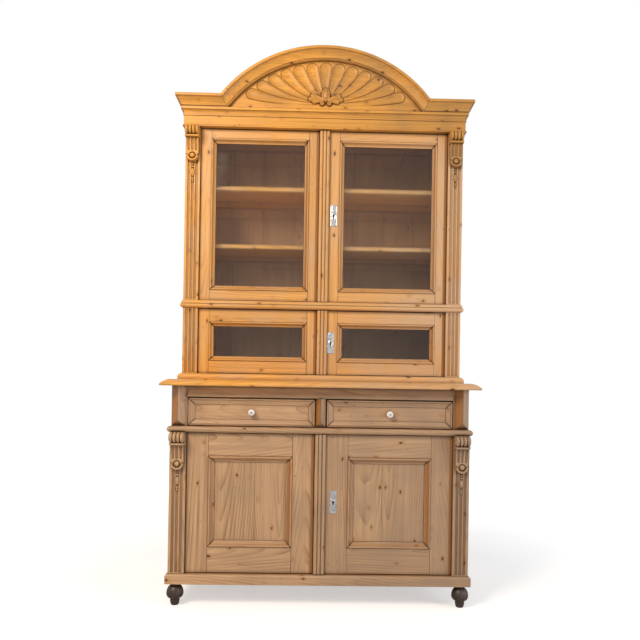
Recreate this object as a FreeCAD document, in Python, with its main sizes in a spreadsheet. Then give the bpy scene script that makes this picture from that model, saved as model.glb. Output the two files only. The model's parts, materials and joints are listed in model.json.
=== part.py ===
import FreeCAD, Part
import math
import os
from collections import namedtuple
from enum import IntEnum
from types import SimpleNamespace

import Sketcher

# Two-part kitchen dresser in pine. X runs to the right, Y to the back, Z up from the floor.
# The origin is on the floor, in the middle of the box that the dresser fills.

# Driving dimensions, in millimetres
SIZES = {
    # Turned feet
    "foot_height": 88.0,
    "foot_tread_radius": 13.0,
    "foot_toe_radius": 15.5,
    "foot_toe_height": 27.0,
    "foot_neck_radius": 20.0,
    "foot_neck_height": 8.0,
    "foot_inset_side": 26.0,
    "foot_inset_front": 22.0,
    "foot_inset_back": 40.0,
    # Base carcass
    "base_width": 1190.0,
    "base_depth": 520.0,
    "base_side_thickness": 22.0,
    "base_post_width": 64.0,
    "post_depth": 36.0,
    "plinth_height": 40.0,
    "plinth_projection": 10.0,
    "base_door_space": 559.0,
    "drawer_rail_height": 23.0,
    "base_waist_edge": 2.0,
    "base_waist_bulge": 8.0,
    "drawer_space": 116.0,
    "counter_rail_height": 44.0,
    "counter_rail_depth": 20.0,
    "counter_rail_recess": 25.0,
    "counter_rail_fillet_height": 12.0,
    "counter_rail_fillet_step": 8.0,
    "floor_thickness": 20.0,
    "foot_rail_width": 36.0,
    "back_board_thickness": 12.0,
    "back_board_gap": 0.5,
    "base_shelf_rise": 270.0,
    "base_shelf_setback": 90.0,
    "shelf_thickness": 16.0,
    "batten_width": 18.0,
    "batten_height": 22.0,
    # Countertop with a thumbnail edge
    "counter_depth": 565.0,
    "counter_side_overhang": 36.0,
    "counter_thickness": 26.0,
    "counter_edge_width": 35.0,
    "counter_edge_lean": 10.0,
    "counter_nose_height": 6.0,
    "counter_nose_bevel": 3.0,
    # Prism blocks beside the drawers
    "block_recess": 25.5,
    "prism_flat": 6.0,
    "prism_projection": 28.0,
    "prism_hip": 24.0,
    "prism_arris": 1.0,
    "middle_block_width": 42.0,
    "middle_prism_projection": 20.0,
    # Drawers
    "drawer_gap": 3.0,
    "drawer_top_gap": 4.0,
    "drawer_front_recess": 27.5,
    "drawer_front_thickness": 22.0,
    "border_width": 26.0,
    "border_height": 8.0,
    "border_rim": 7.0,
    "border_inner_height": 2.0,
    "drawer_side_inset": 2.0,
    "drawer_side_thickness": 12.0,
    "drawer_side_height": 88.0,
    "drawer_box_depth": 368.0,
    "drawer_bottom_rise": 8.0,
    "drawer_bottom_thickness": 8.0,
    "drawer_groove": 6.0,
    "runner_height": 20.0,
    "runner_bearing": 24.0,
    "guide_height": 20.0,
    "guide_clearance": 1.0,
    "run_clearance": 0.3,
    "knob_radius": 13.5,
    "knob_neck_radius": 6.5,
    "knob_collar_radius": 9.0,
    "knob_collar_height": 3.0,
    "knob_neck_height": 6.0,
    "knob_face_radius": 6.0,
    # Doors
    "door_thickness": 24.0,
    "door_recess": 12.0,
    "door_side_gap": 2.0,
    "door_end_gap": 2.5,
    "meeting_gap": 2.5,
    "astragal_width": 43.0,
    "astragal_thickness": 14.0,
    "astragal_reed_bulge": 5.0,
    "tenon_length": 26.0,
    "tenon_thickness": 8.0,
    "tenon_face": 8.0,
    "tenon_outer_shoulder": 12.0,
    "tenon_inner_shoulder": 10.0,
    "base_outer_stile": 85.0,
    "base_opening_inner": 110.0,
    "base_top_rail": 91.0,
    "base_bottom_rail": 102.0,
    "panel_moulding_width": 25.0,
    "moulding_foot": 2.5,
    "panel_moulding_bead": 5.0,
    "panel_depth": 12.0,
    "panel_thickness": 8.0,
    "panel_groove": 8.0,
    "panel_clearance": 1.0,
    "glazed_outer_stile": 44.0,
    "glazed_opening_inner": 65.0,
    "tall_top_rail": 38.5,
    "tall_bottom_rail": 44.0,
    "small_top_rail": 53.0,
    "small_bottom_rail": 53.0,
    "glass_moulding_width": 20.0,
    "glass_moulding_bead": 4.0,
    "glass_depth": 12.0,
    "glass_thickness": 3.0,
    "glass_clearance": 0.5,
    "glazing_bead_width": 8.0,
    # Pivot hinges
    "pivot_inset_side": 12.0,
    "pivot_inset_front": 6.0,
    "pin_radius": 3.0,
    "pin_clearance": 0.05,
    "pin_length": 14.0,
    "pin_end_clearance": 0.5,
    "plate_thickness": 2.0,
    "plate_reach_in": 28.0,
    "plate_reach_out": 10.0,
    "plate_front_inset": 1.0,
    "plate_depth": 20.0,
    # Locks and key plates
    "key_plate_width": 28.0,
    "key_plate_height": 90.0,
    "key_plate_thickness": 2.0,
    "key_plate_bevel": 1.0,
    "key_hole_radius": 4.2,
    "key_slot_width": 5.0,
    "key_slot_length": 13.0,
    "base_key_place": 54.0,
    "small_key_place": 37.0,
    "tall_key_place": 43.0,
    "base_key_rise": 285.0,
    "small_key_rise": 136.0,
    "tall_key_rise": 370.0,
    "lock_height": 80.0,
    "lock_depth": 16.0,
    "lock_edge_inset": 2.0,
    "lock_reach": 20.0,
    "bolt_length": 40.0,
    "bolt_height": 14.0,
    "bolt_thickness": 5.0,
    "bolt_setback": 3.0,
    "bolt_clearance": 0.3,
    # Door stops behind the meeting edges
    "stop_width": 60.0,
    "stop_depth": 20.0,
    "stop_height": 16.0,
    "stop_clearance": 0.3,
    # Upper carcass
    "hutch_width": 1180.0,
    "hutch_depth": 340.0,
    "hutch_side_thickness": 20.0,
    "hutch_post_width": 62.0,
    "hutch_foot_height": 28.0,
    "hutch_foot_edge": 4.0,
    "hutch_foot_projection": 16.0,
    "hutch_foot_fillet": 12.0,
    "small_door_space": 278.0,
    "deck_rail_height": 32.0,
    "hutch_waist_edge": 2.0,
    "hutch_waist_bulge": 9.0,
    "hutch_waist_nose": 19.0,
    "hutch_waist_step": 5.0,
    "tall_door_space": 734.0,
    "lower_shelf_rise": 236.0,
    "upper_shelf_rise": 487.0,
    "hutch_shelf_setback": 58.0,
    "frieze_height": 45.0,
    "frieze_projection": 8.0,
    "frieze_bead_height": 10.0,
    "frieze_bead_projection": 4.0,
    # Cornice and arched crest
    "bed_height": 35.0,
    "bed_foot_height": 6.0,
    "bed_foot_projection": 3.0,
    "bed_top_projection": 14.0,
    "bed_cove_centre": 16.0,
    "bed_fillet_height": 11.0,
    "bed_fillet_projection": 5.0,
    "crown_height": 48.0,
    "crown_projection": 40.0,
    "crown_bead_height": 5.0,
    "crown_bead_projection": 3.0,
    "crown_fillet_height": 12.0,
    "crown_fillet_projection": 5.0,
    "crown_cove_centre": 36.0,
    "crest_radius": 560.0,
    "crest_rise": 213.0,
    "crest_board_thickness": 20.0,
    "crest_board_setdown": 7.0,
    "hutch_side_setdown": 7.0,
    # Carved shell on the crest
    "shell_margin": 12.0,
    "shell_tip_radius": 24.0,
    "shell_tip_taper": 0.7,
    "shell_depth": 5.0,
    "shell_hub_rise": 16.0,
    # Palmette at the foot of the shell
    "palmette_rise": 17.0,
    "palmette_reach": 73.0,
    "palmette_bud_height": 48.0,
    "palmette_radius": 20.0,
    "palmette_tip_radius": 12.0,
    "palmette_sink": 9.0,
    "volute_radius": 10.0,
    "volute_height": 8.0,
    "volute_spread": 12.0,
    "volute_rise": 2.0,
    # Flutes of the posts
    "flute_radius": 6.0,
    "flute_depth": 4.5,
    "flute_pitch": 16.0,
    "flute_end": 7.0,
    "flute_under_corbel": 32.0,
    # Scroll corbels
    "corbel_height": 150.0,
    "corbel_width": 58.0,
    "corbel_roll_radius": 21.0,
    "corbel_projection": 42.0,
    "corbel_fillet_height": 7.0,
    "corbel_fillet_projection": 27.0,
    "corbel_neck": 14.0,
    "corbel_neck_rise": 48.0,
    "corbel_reed_depth": 3.5,
    "corbel_reed_gap": 5.0,
    "roundel_radius": 15.0,
    "roundel_height": 5.0,
    "boss_radius": 9.0,
    "boss_height": 4.0,
    "husk_length": 32.0,
    "husk_overlap": 4.0,
    "husk_radius": 9.0,
    "husk_tip_radius": 3.0,
    "husk_taper": 1.5,
}

# Counts and angles
FLUTES = 3
REEDS = 3
SHELL_RAYS_EACH_SIDE = 6
SHELL_STEP_DEGREES = 7.0
ROLL_REEDS = 4
HUSKS = 3
BACK_BOARDS = 8
# How many times its own size a cutter reaches, so that it passes right through
CUT_THROUGH = 4

DOC = FreeCAD.newDocument("KitchenDresser")
SHEET = DOC.addObject("Spreadsheet::Sheet", "Dims")
for row, (alias, number) in enumerate(SIZES.items(), start=1):
    SHEET.set(f"A{row}", alias)
    SHEET.set(f"B{row}", str(number))
    SHEET.setAlias(f"B{row}", alias)
DOC.recompute()

NODES = []
# How a sketch numbers the points of a line or arc, and its own two axes, of which H also holds the origin
Point = IntEnum("Point", "WHOLE START END CENTRE", start=0)
Axis = IntEnum("Axis", "V H", start=-2)
X_DIRECTION = FreeCAD.Vector(1, 0, 0)
Y_DIRECTION = FreeCAD.Vector(0, 1, 0)
Z_DIRECTION = FreeCAD.Vector(0, 0, 1)
UNTURNED = FreeCAD.Rotation()
FACING_FRONT = FreeCAD.Rotation(Z_DIRECTION, 180)
FACING_RIGHT = FreeCAD.Rotation(Z_DIRECTION, -90)
STANDING_IN_FRAME = FreeCAD.Rotation(X_DIRECTION, 90)
LYING_RIGHT = FreeCAD.Rotation(Y_DIRECTION, 90)
UPSIDE_DOWN = FreeCAD.Rotation(X_DIRECTION, 180)


class Size:
    """A length: its value, and the sheet expression that keeps objects tied to it."""

    def __init__(self, value, text):
        self.value = float(value)
        self.text = text

    def joined(self, sign, other, value):
        return Size(value, f"({self.text} {sign} {other.text})")

    def __add__(self, other):
        other = as_size(other)
        return self.joined("+", other, self.value + other.value)

    def __sub__(self, other):
        other = as_size(other)
        return self.joined("-", other, self.value - other.value)

    def __mul__(self, other):
        other = as_size(other)
        return self.joined("*", other, self.value * other.value)

    def __truediv__(self, other):
        other = as_size(other)
        return self.joined("/", other, self.value / other.value)

    def __rsub__(self, other):
        return as_size(other) - self

    def __neg__(self):
        return Size(-self.value, f"(0 - {self.text})")

    __radd__ = __add__
    __rmul__ = __mul__


def as_size(number):
    return number if isinstance(number, Size) else Size(number, f"({float(number)})")


def root(size):
    return Size(math.sqrt(size.value), f"sqrt({size.text})")


def bulge_radius(chord, bulge):
    """The radius of an arc that rises by bulge over a chord."""
    return (chord * chord / 4 + bulge * bulge) / (bulge * 2)


d = SimpleNamespace(**{alias: Size(number, f"Dims.{alias}") for alias, number in SIZES.items()})

# Levels above the floor
plinth_bottom = d.foot_height
base_doors_bottom = plinth_bottom + d.plinth_height
drawer_rail_bottom = base_doors_bottom + d.base_door_space
drawers_bottom = drawer_rail_bottom + d.drawer_rail_height
counter_rail_bottom = drawers_bottom + d.drawer_space
counter_bottom = counter_rail_bottom + d.counter_rail_height
counter_top = counter_bottom + d.counter_thickness
small_doors_bottom = counter_top + d.hutch_foot_height
deck_bottom = small_doors_bottom + d.small_door_space
tall_doors_bottom = deck_bottom + d.deck_rail_height
frieze_bottom = tall_doors_bottom + d.tall_door_space
bed_bottom = frieze_bottom + d.frieze_height
crown_bottom = bed_bottom + d.bed_height
crown_top = crown_bottom + d.crown_height
base_floor_bottom = base_doors_bottom - d.floor_thickness
runner_top = drawers_bottom + d.drawer_gap - d.run_clearance
hutch_side_top = crown_top - d.hutch_side_setdown

# Depths and widths
back = d.counter_depth / 2
base_front = back - d.base_depth
base_frame_back = base_front + d.post_depth
hutch_front = back - d.hutch_depth
hutch_frame_back = hutch_front + d.post_depth
boards_front = back - d.back_board_thickness
base_half = d.base_width / 2
base_inner = base_half - d.base_side_thickness
base_post_inner = base_half - d.base_post_width
hutch_half = d.hutch_width / 2
hutch_inner = hutch_half - d.hutch_side_thickness
hutch_post_inner = hutch_half - d.hutch_post_width

Corner = namedtuple("Corner", "u v")
Arc = namedtuple("Arc", "u v centre_axis centre convex")


def corner(u, v):
    return Corner(as_size(u), as_size(v))


def arc(u, v, convex=True, centre_u=None, centre_v=None):
    """The end of an arc from the last corner, with one coordinate of its centre."""
    if centre_u is not None:
        return Arc(as_size(u), as_size(v), "X", as_size(centre_u), convex)
    return Arc(as_size(u), as_size(v), "Y", as_size(centre_v), convex)


def bind(item, **sizes):
    for name, size in sizes.items():
        item.setExpression(name, size.text)


def place(item, x, y, z, rotation=UNTURNED):
    item.Placement = FreeCAD.Placement(FreeCAD.Vector(), rotation)
    for axis, size in zip("xyz", (x, y, z)):
        item.setExpression(f"Placement.Base.{axis}", as_size(size).text)
    return item


def new_part(kind, **sizes):
    item = DOC.addObject(f"Part::{kind}", kind)
    bind(item, **sizes)
    return item


def box(x, y, z):
    """A board between a low and a high limit along each axis."""
    lows = [as_size(limits[0]) for limits in (x, y, z)]
    highs = [as_size(limits[1]) for limits in (x, y, z)]
    spans = [high - low for low, high in zip(lows, highs)]
    return place(new_part("Box", Length=spans[0], Width=spans[1], Height=spans[2]), *lows)


def wedge(width, depth, height, face_x, face_z):
    """A block that narrows along Y to a smaller face."""
    item = new_part("Wedge", Xmax=width, Ymax=depth, Zmax=height, X2min=face_x[0], X2max=face_x[1],
                    Z2min=face_z[0], Z2max=face_z[1])
    for name in ("Xmin", "Ymin", "Zmin"):
        setattr(item, name, 0)
    return item


def round_bar(radius, height, x, y, z, rotation=UNTURNED):
    return place(new_part("Cylinder", Radius=radius, Height=height), x, y, z, rotation)


def point(radius, x, y, z, rotation=UNTURNED):
    """A cone as high as its radius, from its base to a sharp point."""
    item = new_part("Cone", Radius1=radius, Height=radius)
    item.Radius2 = 0
    return place(item, x, y, z, rotation)


def fuse(*pieces):
    item = DOC.addObject("Part::MultiFuse", "Fuse")
    item.Shapes = list(pieces)
    return item


def cut(base, *tools):
    item = DOC.addObject("Part::Cut", "Cut")
    item.Base = base
    item.Tool = tools[0] if len(tools) == 1 else fuse(*tools)
    return item


def common(first, second):
    item = DOC.addObject("Part::Common", "Common")
    item.Base = first
    item.Tool = second
    return item


def group(*pieces):
    item = DOC.addObject("Part::Compound", "Group")
    item.Links = list(pieces)
    return item


def mirrored(piece):
    """The left-hand twin of a right-hand piece."""
    item = DOC.addObject("Part::Mirroring", "Mirrored")
    item.Source = piece
    item.Normal = X_DIRECTION
    return item


def both_sides(*pieces):
    return [side for piece in pieces for side in (piece, mirrored(piece))]


def node(label, *pieces):
    """Register a finished sub-part under its own name."""
    item = pieces[0] if len(pieces) == 1 else group(*pieces)
    item.Label = label
    NODES.append(item)
    return item


def new_body():
    return DOC.addObject("PartDesign::Body", "Body")


def sketch_on(body, role, outlines):
    """A sketch of closed outlines on one of the body's own origin planes."""
    sketch = body.newObject("Sketcher::SketchObject", "Sketch")
    plane = next(item for item in body.Origin.OriginFeatures if item.Role == role)
    sketch.AttachmentSupport = [(plane, "")]
    sketch.MapMode = "FlatFace"
    for outline in outlines:
        draw(sketch, outline)
    return sketch


def arc_geometry(start, end, stretch):
    """A circular stretch from start to end, whose centre has one given coordinate."""
    if stretch.centre_axis == "X":
        u = stretch.centre.value
        v = ((end.x - u) ** 2 - (start.x - u) ** 2 + end.y ** 2 - start.y ** 2) / (2 * (end.y - start.y))
    else:
        v = stretch.centre.value
        u = ((end.y - v) ** 2 - (start.y - v) ** 2 + end.x ** 2 - start.x ** 2) / (2 * (end.x - start.x))
    first, last = (start, end) if stretch.convex else (end, start)
    circle = Part.Circle(FreeCAD.Vector(u, v, 0), Z_DIRECTION, math.hypot(start.x - u, start.y - v))
    return Part.ArcOfCircle(circle, math.atan2(first.y - v, first.x - u), math.atan2(last.y - v, last.x - u))


def draw(sketch, outline):
    """Draw a closed outline counterclockwise, with its corners and arc centres tied to the sheet."""
    stretches = []
    for index, stop in enumerate(outline):
        start = FreeCAD.Vector(outline[index - 1].u.value, outline[index - 1].v.value, 0)
        end = FreeCAD.Vector(stop.u.value, stop.v.value, 0)
        if isinstance(stop, Arc):
            number = sketch.addGeometry(arc_geometry(start, end, stop), False)
            ends = (Point.START, Point.END) if stop.convex else (Point.END, Point.START)
        else:
            number = sketch.addGeometry(Part.LineSegment(start, end), False)
            ends = (Point.START, Point.END)
        stretches.append((number, *ends))
    for index, (number, _, end) in enumerate(stretches):
        following, following_start, _ = stretches[(index + 1) % len(stretches)]
        sketch.addConstraint(Sketcher.Constraint("Coincident", number, end, following, following_start))
        stop = outline[index]
        tie(sketch, number, end, "X", stop.u)
        tie(sketch, number, end, "Y", stop.v)
        if isinstance(stop, Arc):
            tie(sketch, number, Point.CENTRE, stop.centre_axis, stop.centre)


def tie(sketch, number, point, axis, size):
    """Hold a point of a sketch at a coordinate from the sheet."""
    if size.value == 0:
        line = Axis.V if axis == "X" else Axis.H
        sketch.addConstraint(Sketcher.Constraint("PointOnObject", number, point, line))
        return
    ends = (Axis.H, Point.START, number, point)
    if size.value < 0:
        ends = (number, point, Axis.H, Point.START)
        size = -size
    place_in_list = sketch.addConstraint(Sketcher.Constraint(f"Distance{axis}", *ends, size.value))
    sketch.setExpression(f"Constraints[{place_in_list}]", size.text)


def pad(body, role, outlines, length, symmetric=False):
    feature = body.newObject("PartDesign::Pad", "Pad")
    feature.Profile = sketch_on(body, role, outlines)
    bind(feature, Length=length)
    feature.SideType = "Symmetric" if symmetric else "One side"
    return body


def pocket_through(body, role, outlines, depth):
    """Cut outlines right through, to both sides of their plane."""
    feature = body.newObject("PartDesign::Pocket", "Pocket")
    feature.Profile = sketch_on(body, role, outlines)
    feature.SideType = "Symmetric"
    bind(feature, Length=depth)
    return body


def turned(outline, role="XZ_Plane", axis="V_Axis"):
    """A turned piece: an outline spun round an axis of its sketch."""
    body = new_body()
    sketch = sketch_on(body, role, [outline])
    feature = body.newObject("PartDesign::Revolution", "Turning")
    feature.Profile = sketch
    feature.ReferenceAxis = (sketch, [axis])
    feature.Angle = 360
    return body


def mitre(kind, x, width, inward):
    """The corner that a saw takes off the end of a length of moulding, in plan."""
    inner = x + width * inward
    if kind == "outer":
        corners = [corner(x, 0), corner(inner, 0), corner(x, width)]
    else:
        corners = [corner(x, 0), corner(inner, width), corner(x, width)]
    return corners if inward > 0 else corners[::-1]


def moulding(outline, width, run, start=None, end=None):
    """A length of moulding along local X, out from its wall along Y, with its ends square or mitred."""
    body = pad(new_body(), "YZ_Plane", [outline], run)
    corners = []
    if start:
        corners.append(mitre(start, as_size(0), width, 1))
    if end:
        corners.append(mitre(end, run, width, -1))
    if corners:
        highest = max((stop.v for stop in outline), key=lambda size: size.value)
        pocket_through(body, "XY_Plane", corners, highest * CUT_THROUGH)
    return body


def three_sided(outline, width, half, front, bottom):
    """A moulding round the front and both sides of a carcass, mitred at the corners."""
    face = place(moulding(outline, width, (half + width) * 2, "outer", "outer"),
                 half + width, front, bottom, FACING_FRONT)
    side_run = back - front + width
    side = place(moulding(outline, width, side_run, None, "outer"), half, back, bottom, FACING_RIGHT)
    return [face, *both_sides(side)]


def framed(outline, width, x, z, face):
    """Four lengths of moulding mitred round the inside of an opening in a door or drawer front."""
    wide = x[1] - x[0]
    high = z[1] - z[0]
    seats = [(wide, x[0], z[0], 0), (high, x[0], z[1], 90), (wide, x[1], z[1], 180), (high, x[1], z[0], -90)]
    lengths = []
    for run, start_x, start_z, turn in seats:
        length = moulding(outline, width, run, "inner", "inner")
        rotation = FreeCAD.Rotation(Y_DIRECTION, turn).multiply(STANDING_IN_FRAME)
        lengths.append(place(length, start_x, face, start_z, rotation))
    return lengths


def nosing(height, edge, bulge):
    """A half-round nosing: a short flat edge and a swelling front."""
    centre = edge + bulge - bulge_radius(height, bulge)
    return [corner(0, 0), corner(edge, 0), arc(edge, height, centre_u=centre), corner(0, height)]


def planks(half, bottom, top):
    """Vertical boards side by side that close a back."""
    width = half * 2 / BACK_BOARDS
    boards = []
    for index in range(BACK_BOARDS):
        left = width * index - half
        boards.append(box((left + d.back_board_gap / 2, left + width - d.back_board_gap / 2),
                          (boards_front, back), (bottom, top)))
    return boards


def flutes(middle, front, bottom, top):
    """Grooves along the face of a post, with ends that run out to a point."""
    centre_y = front - d.flute_radius + d.flute_depth
    cutters = []
    for index in range(FLUTES):
        x = middle + d.flute_pitch * (index - (FLUTES - 1) / 2)
        low = bottom + d.flute_end
        high = top - d.flute_end
        cutters.append(round_bar(d.flute_radius, high - low, x, centre_y, low))
        cutters.append(point(d.flute_radius, x, centre_y, low, UPSIDE_DOWN))
        cutters.append(point(d.flute_radius, x, centre_y, high))
    return cutters


def fluted_post(x, front, z, flutes_top):
    blank = box(x, (front, front + d.post_depth), z)
    return cut(blank, *flutes((x[0] + x[1]) / 2, front, z[0], flutes_top))


def shelf(wall, front, bottom):
    """A shelf between two walls, and the battens on the walls that carry it."""
    depth = (front, boards_front)
    board = box((-wall, wall), depth, (bottom, bottom + d.shelf_thickness))
    batten = box((wall - d.batten_width, wall), depth, (bottom - d.batten_height, bottom))
    return [board, *both_sides(batten)]


def make_feet():
    ball_top = d.foot_height - d.foot_neck_height
    outline = [
        corner(0, 0),
        corner(d.foot_tread_radius, 0),
        corner(d.foot_toe_radius, d.foot_toe_height),
        arc(d.foot_neck_radius, ball_top, centre_u=0),
        corner(d.foot_neck_radius, d.foot_height),
        corner(0, d.foot_height),
    ]
    x = base_half - d.foot_inset_side
    seats = (base_front + d.foot_inset_front, back - d.foot_inset_back)
    node("feet", *both_sides(*[place(turned(outline), x, y, 0) for y in seats]))


def make_base_carcass():
    rounded = d.plinth_projection
    plinth = [
        corner(0, 0),
        corner(rounded, 0),
        corner(rounded, d.plinth_height - rounded),
        arc(0, d.plinth_height, centre_u=0),
    ]
    node("plinth_moulding", *three_sided(plinth, rounded, base_half, base_front, plinth_bottom))

    side = box((base_inner, base_half), (base_frame_back, back), (plinth_bottom, counter_bottom))
    node("base_sides", *both_sides(side))

    across = (-base_half, base_half)
    inside = (-base_inner, base_inner)
    frame_depth = (base_front, base_frame_back)
    stop_front = base_frame_back + d.stop_clearance
    node(
        "base_floor",
        box(inside, (base_frame_back, boards_front), (base_floor_bottom, base_doors_bottom)),
        box(across, frame_depth, (plinth_bottom, base_doors_bottom)),
        box(inside, (boards_front - d.foot_rail_width, boards_front), (plinth_bottom, base_floor_bottom)),
        box((-d.stop_width / 2, d.stop_width / 2), (stop_front, stop_front + d.stop_depth),
            (base_doors_bottom, base_doors_bottom + d.stop_height)),
    )
    node("base_back_boards", *planks(base_inner, plinth_bottom, counter_bottom))

    node("base_shelf", *shelf(base_inner, base_frame_back + d.base_shelf_setback,
                              base_doors_bottom + d.base_shelf_rise))

    flutes_top = drawer_rail_bottom - d.corbel_height + d.flute_under_corbel
    post = fluted_post((base_post_inner, base_half), base_front, (base_doors_bottom, drawer_rail_bottom),
                       flutes_top)
    node("base_posts", *both_sides(post))

    node("drawer_rail", box(across, frame_depth, (drawer_rail_bottom, drawers_bottom)))
    waist = nosing(d.drawer_rail_height, d.base_waist_edge, d.base_waist_bulge)
    waist_width = d.base_waist_edge + d.base_waist_bulge
    node("base_waist_moulding", *three_sided(waist, waist_width, base_half, base_front, drawer_rail_bottom))


def prism(width, projection, height, middle, base, bottom):
    """A ridge with two slanting faces and a hipped lower end."""
    ridge = (width - d.prism_arris) / 2
    block = wedge(width, projection, height, (ridge, ridge + d.prism_arris), (d.prism_hip, height))
    return place(block, middle + width / 2, base, bottom, FACING_FRONT)


def make_drawer_level():
    block_front = base_front + d.block_recess
    prism_width = d.base_post_width - d.prism_flat
    block_height = counter_bottom - drawers_bottom
    corner_block = fuse(
        box((base_post_inner, base_half), (block_front, base_frame_back), (drawers_bottom, counter_bottom)),
        prism(prism_width, d.prism_projection, block_height, base_half - prism_width / 2, block_front,
              drawers_bottom),
    )
    middle_half = d.middle_block_width / 2
    middle_x = (-middle_half, middle_half)
    middle_block = fuse(
        box(middle_x, (block_front, base_frame_back), (drawers_bottom, counter_rail_bottom)),
        prism(d.middle_block_width, d.middle_prism_projection, d.drawer_space, as_size(0), block_front,
              drawers_bottom),
    )
    node("prism_blocks", *both_sides(corner_block), middle_block)

    rail_face = d.counter_rail_depth
    fillet_face = rail_face + d.counter_rail_fillet_step
    rail = [
        corner(0, 0),
        corner(fillet_face, 0),
        corner(fillet_face, d.counter_rail_fillet_height),
        arc(rail_face, d.counter_rail_height, convex=False, centre_v=d.counter_rail_height),
        corner(0, d.counter_rail_height),
    ]
    rail_back = base_front + d.counter_rail_recess + d.counter_rail_depth
    node("counter_rail", place(moulding(rail, fillet_face, base_post_inner * 2),
                               base_post_inner, rail_back, counter_rail_bottom, FACING_FRONT))

    runner_bottom = runner_top - d.runner_height
    run = (base_frame_back, boards_front)
    drawer_outer = base_post_inner - d.drawer_gap
    drawer_inner = middle_half + d.drawer_gap
    guide = (runner_top, runner_top + d.guide_height)
    outer_guide = drawer_outer - d.drawer_side_inset + d.guide_clearance
    drawer_front_back = base_front + d.drawer_front_recess + d.drawer_front_thickness
    guide_run = (drawer_front_back + d.guide_clearance, boards_front)
    runner = box((drawer_outer - d.runner_bearing, base_inner), run, (runner_bottom, runner_top))
    side_guide = box((outer_guide, base_inner), guide_run, guide)
    node("drawer_runners", *both_sides(runner, side_guide))

    middle_runner = drawer_inner + d.runner_bearing
    middle_guide = drawer_inner + d.drawer_side_inset - d.guide_clearance
    node(
        "drawer_divider",
        box((-middle_runner, middle_runner), run, (runner_bottom, runner_top)),
        box((-middle_guide, middle_guide), guide_run, guide),
    )


def make_countertop():
    """A board whose thumbnail edge runs along the front and both ends."""
    depth = d.counter_depth
    half = base_half + d.counter_side_overhang
    thick = d.counter_thickness
    nose = d.counter_nose_height
    bevel = d.counter_nose_bevel
    lean = d.counter_edge_width + d.counter_edge_lean
    front_section = [
        corner(0, 0),
        corner(depth - bevel, 0),
        corner(depth, bevel),
        corner(depth, nose),
        arc(depth - d.counter_edge_width, thick, centre_u=depth - lean),
        corner(0, thick),
    ]
    end_section = [
        corner(bevel - half, 0),
        corner(half - bevel, 0),
        corner(half, bevel),
        corner(half, nose),
        arc(half - d.counter_edge_width, thick, centre_u=half - lean),
        corner(d.counter_edge_width - half, thick),
        arc(-half, nose, centre_u=lean - half),
        corner(-half, bevel),
    ]
    along = pad(new_body(), "YZ_Plane", [front_section], half * 2)
    place(along, half, back, counter_bottom, FACING_FRONT)
    across = place(pad(new_body(), "XZ_Plane", [end_section], depth), 0, back, counter_bottom)
    node("countertop", common(along, across))


def make_drawers():
    """The right drawer, and the left one as its twin."""
    x = (d.middle_block_width / 2 + d.drawer_gap, base_post_inner - d.drawer_gap)
    z = (drawers_bottom + d.drawer_gap, counter_rail_bottom - d.drawer_top_gap)
    face = base_front + d.drawer_front_recess
    front_back = face + d.drawer_front_thickness
    box_back = front_back + d.drawer_box_depth
    left = x[0] + d.drawer_side_inset
    right = x[1] - d.drawer_side_inset
    thick = d.drawer_side_thickness
    side_top = z[0] + d.drawer_side_height
    bottom_low = z[0] + d.drawer_bottom_rise
    bottom_high = bottom_low + d.drawer_bottom_thickness
    groove = d.drawer_groove
    bottom = box((left + thick - groove, right - thick + groove), (front_back - groove, box_back),
                 (bottom_low, bottom_high))
    front_board = cut(box(x, (face, front_back), z), bottom)
    side_depth = (front_back, box_back)
    near_side = cut(box((left, left + thick), side_depth, (z[0], side_top)), bottom)
    far_side = cut(box((right - thick, right), side_depth, (z[0], side_top)), bottom)
    rear = box((left + thick, right - thick), (box_back - thick, box_back), (bottom_high, side_top))
    border = [
        corner(0, 0),
        corner(d.border_width, 0),
        corner(d.border_width, d.border_inner_height),
        arc(d.border_rim, d.border_height, convex=False, centre_u=d.border_width),
        corner(0, d.border_height),
    ]
    front = group(front_board, *framed(border, d.border_width, x, z, face))
    drawer_box = group(near_side, far_side, rear, bottom)

    neck = d.knob_neck_radius
    knob_face = d.knob_face_radius
    ball_area = d.knob_radius * d.knob_radius
    ball_centre = d.knob_neck_height + root(ball_area - neck * neck)
    knob_top = ball_centre + root(ball_area - knob_face * knob_face)
    outline = [
        corner(0, 0),
        corner(d.knob_collar_radius, 0),
        corner(neck, d.knob_collar_height),
        corner(neck, d.knob_neck_height),
        arc(knob_face, knob_top, centre_v=ball_centre),
        corner(0, knob_top),
    ]
    knob = place(turned(outline), (x[0] + x[1]) / 2, face, (z[0] + z[1]) / 2, STANDING_IN_FRAME)

    for side, twin in (("right", None), ("left", mirrored)):
        for name, piece in (("front", front), ("box", drawer_box), ("knob", knob)):
            node(f"{side}_drawer_{name}", twin(piece) if twin else piece)


def door_tier(name, bottom, space, carcass_front, post_inner, outer_stile, opening_inner, rails, key):
    """Where the two leaves of one tier of doors stand. Heights and depths are the same for both."""
    tier = SimpleNamespace(name=name, bottom=bottom, top=bottom + space)
    tier.front = carcass_front + d.door_recess
    tier.back = tier.front + d.door_thickness
    tier.low = bottom + d.door_end_gap
    tier.high = tier.top - d.door_end_gap
    tier.edge = post_inner - d.door_side_gap
    tier.opening_x = (opening_inner, tier.edge - outer_stile)
    tier.opening_z = (tier.low + rails[0], tier.high - rails[1])
    tier.axis_x = tier.edge - d.pivot_inset_side
    tier.axis_y = tier.front + d.pivot_inset_front
    tier.key_x = key[0]
    tier.key_z = tier.low + key[1]
    return tier


def pivot_bores(tier):
    """The holes in a door's outer stile that turn on the pins."""
    radius = d.pin_radius + d.pin_clearance
    depth = d.plate_thickness + d.pin_length + d.pin_end_clearance
    return [
        round_bar(radius, depth, tier.axis_x, tier.axis_y, tier.bottom),
        round_bar(radius, depth, tier.axis_x, tier.axis_y, tier.top - depth),
    ]


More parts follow.
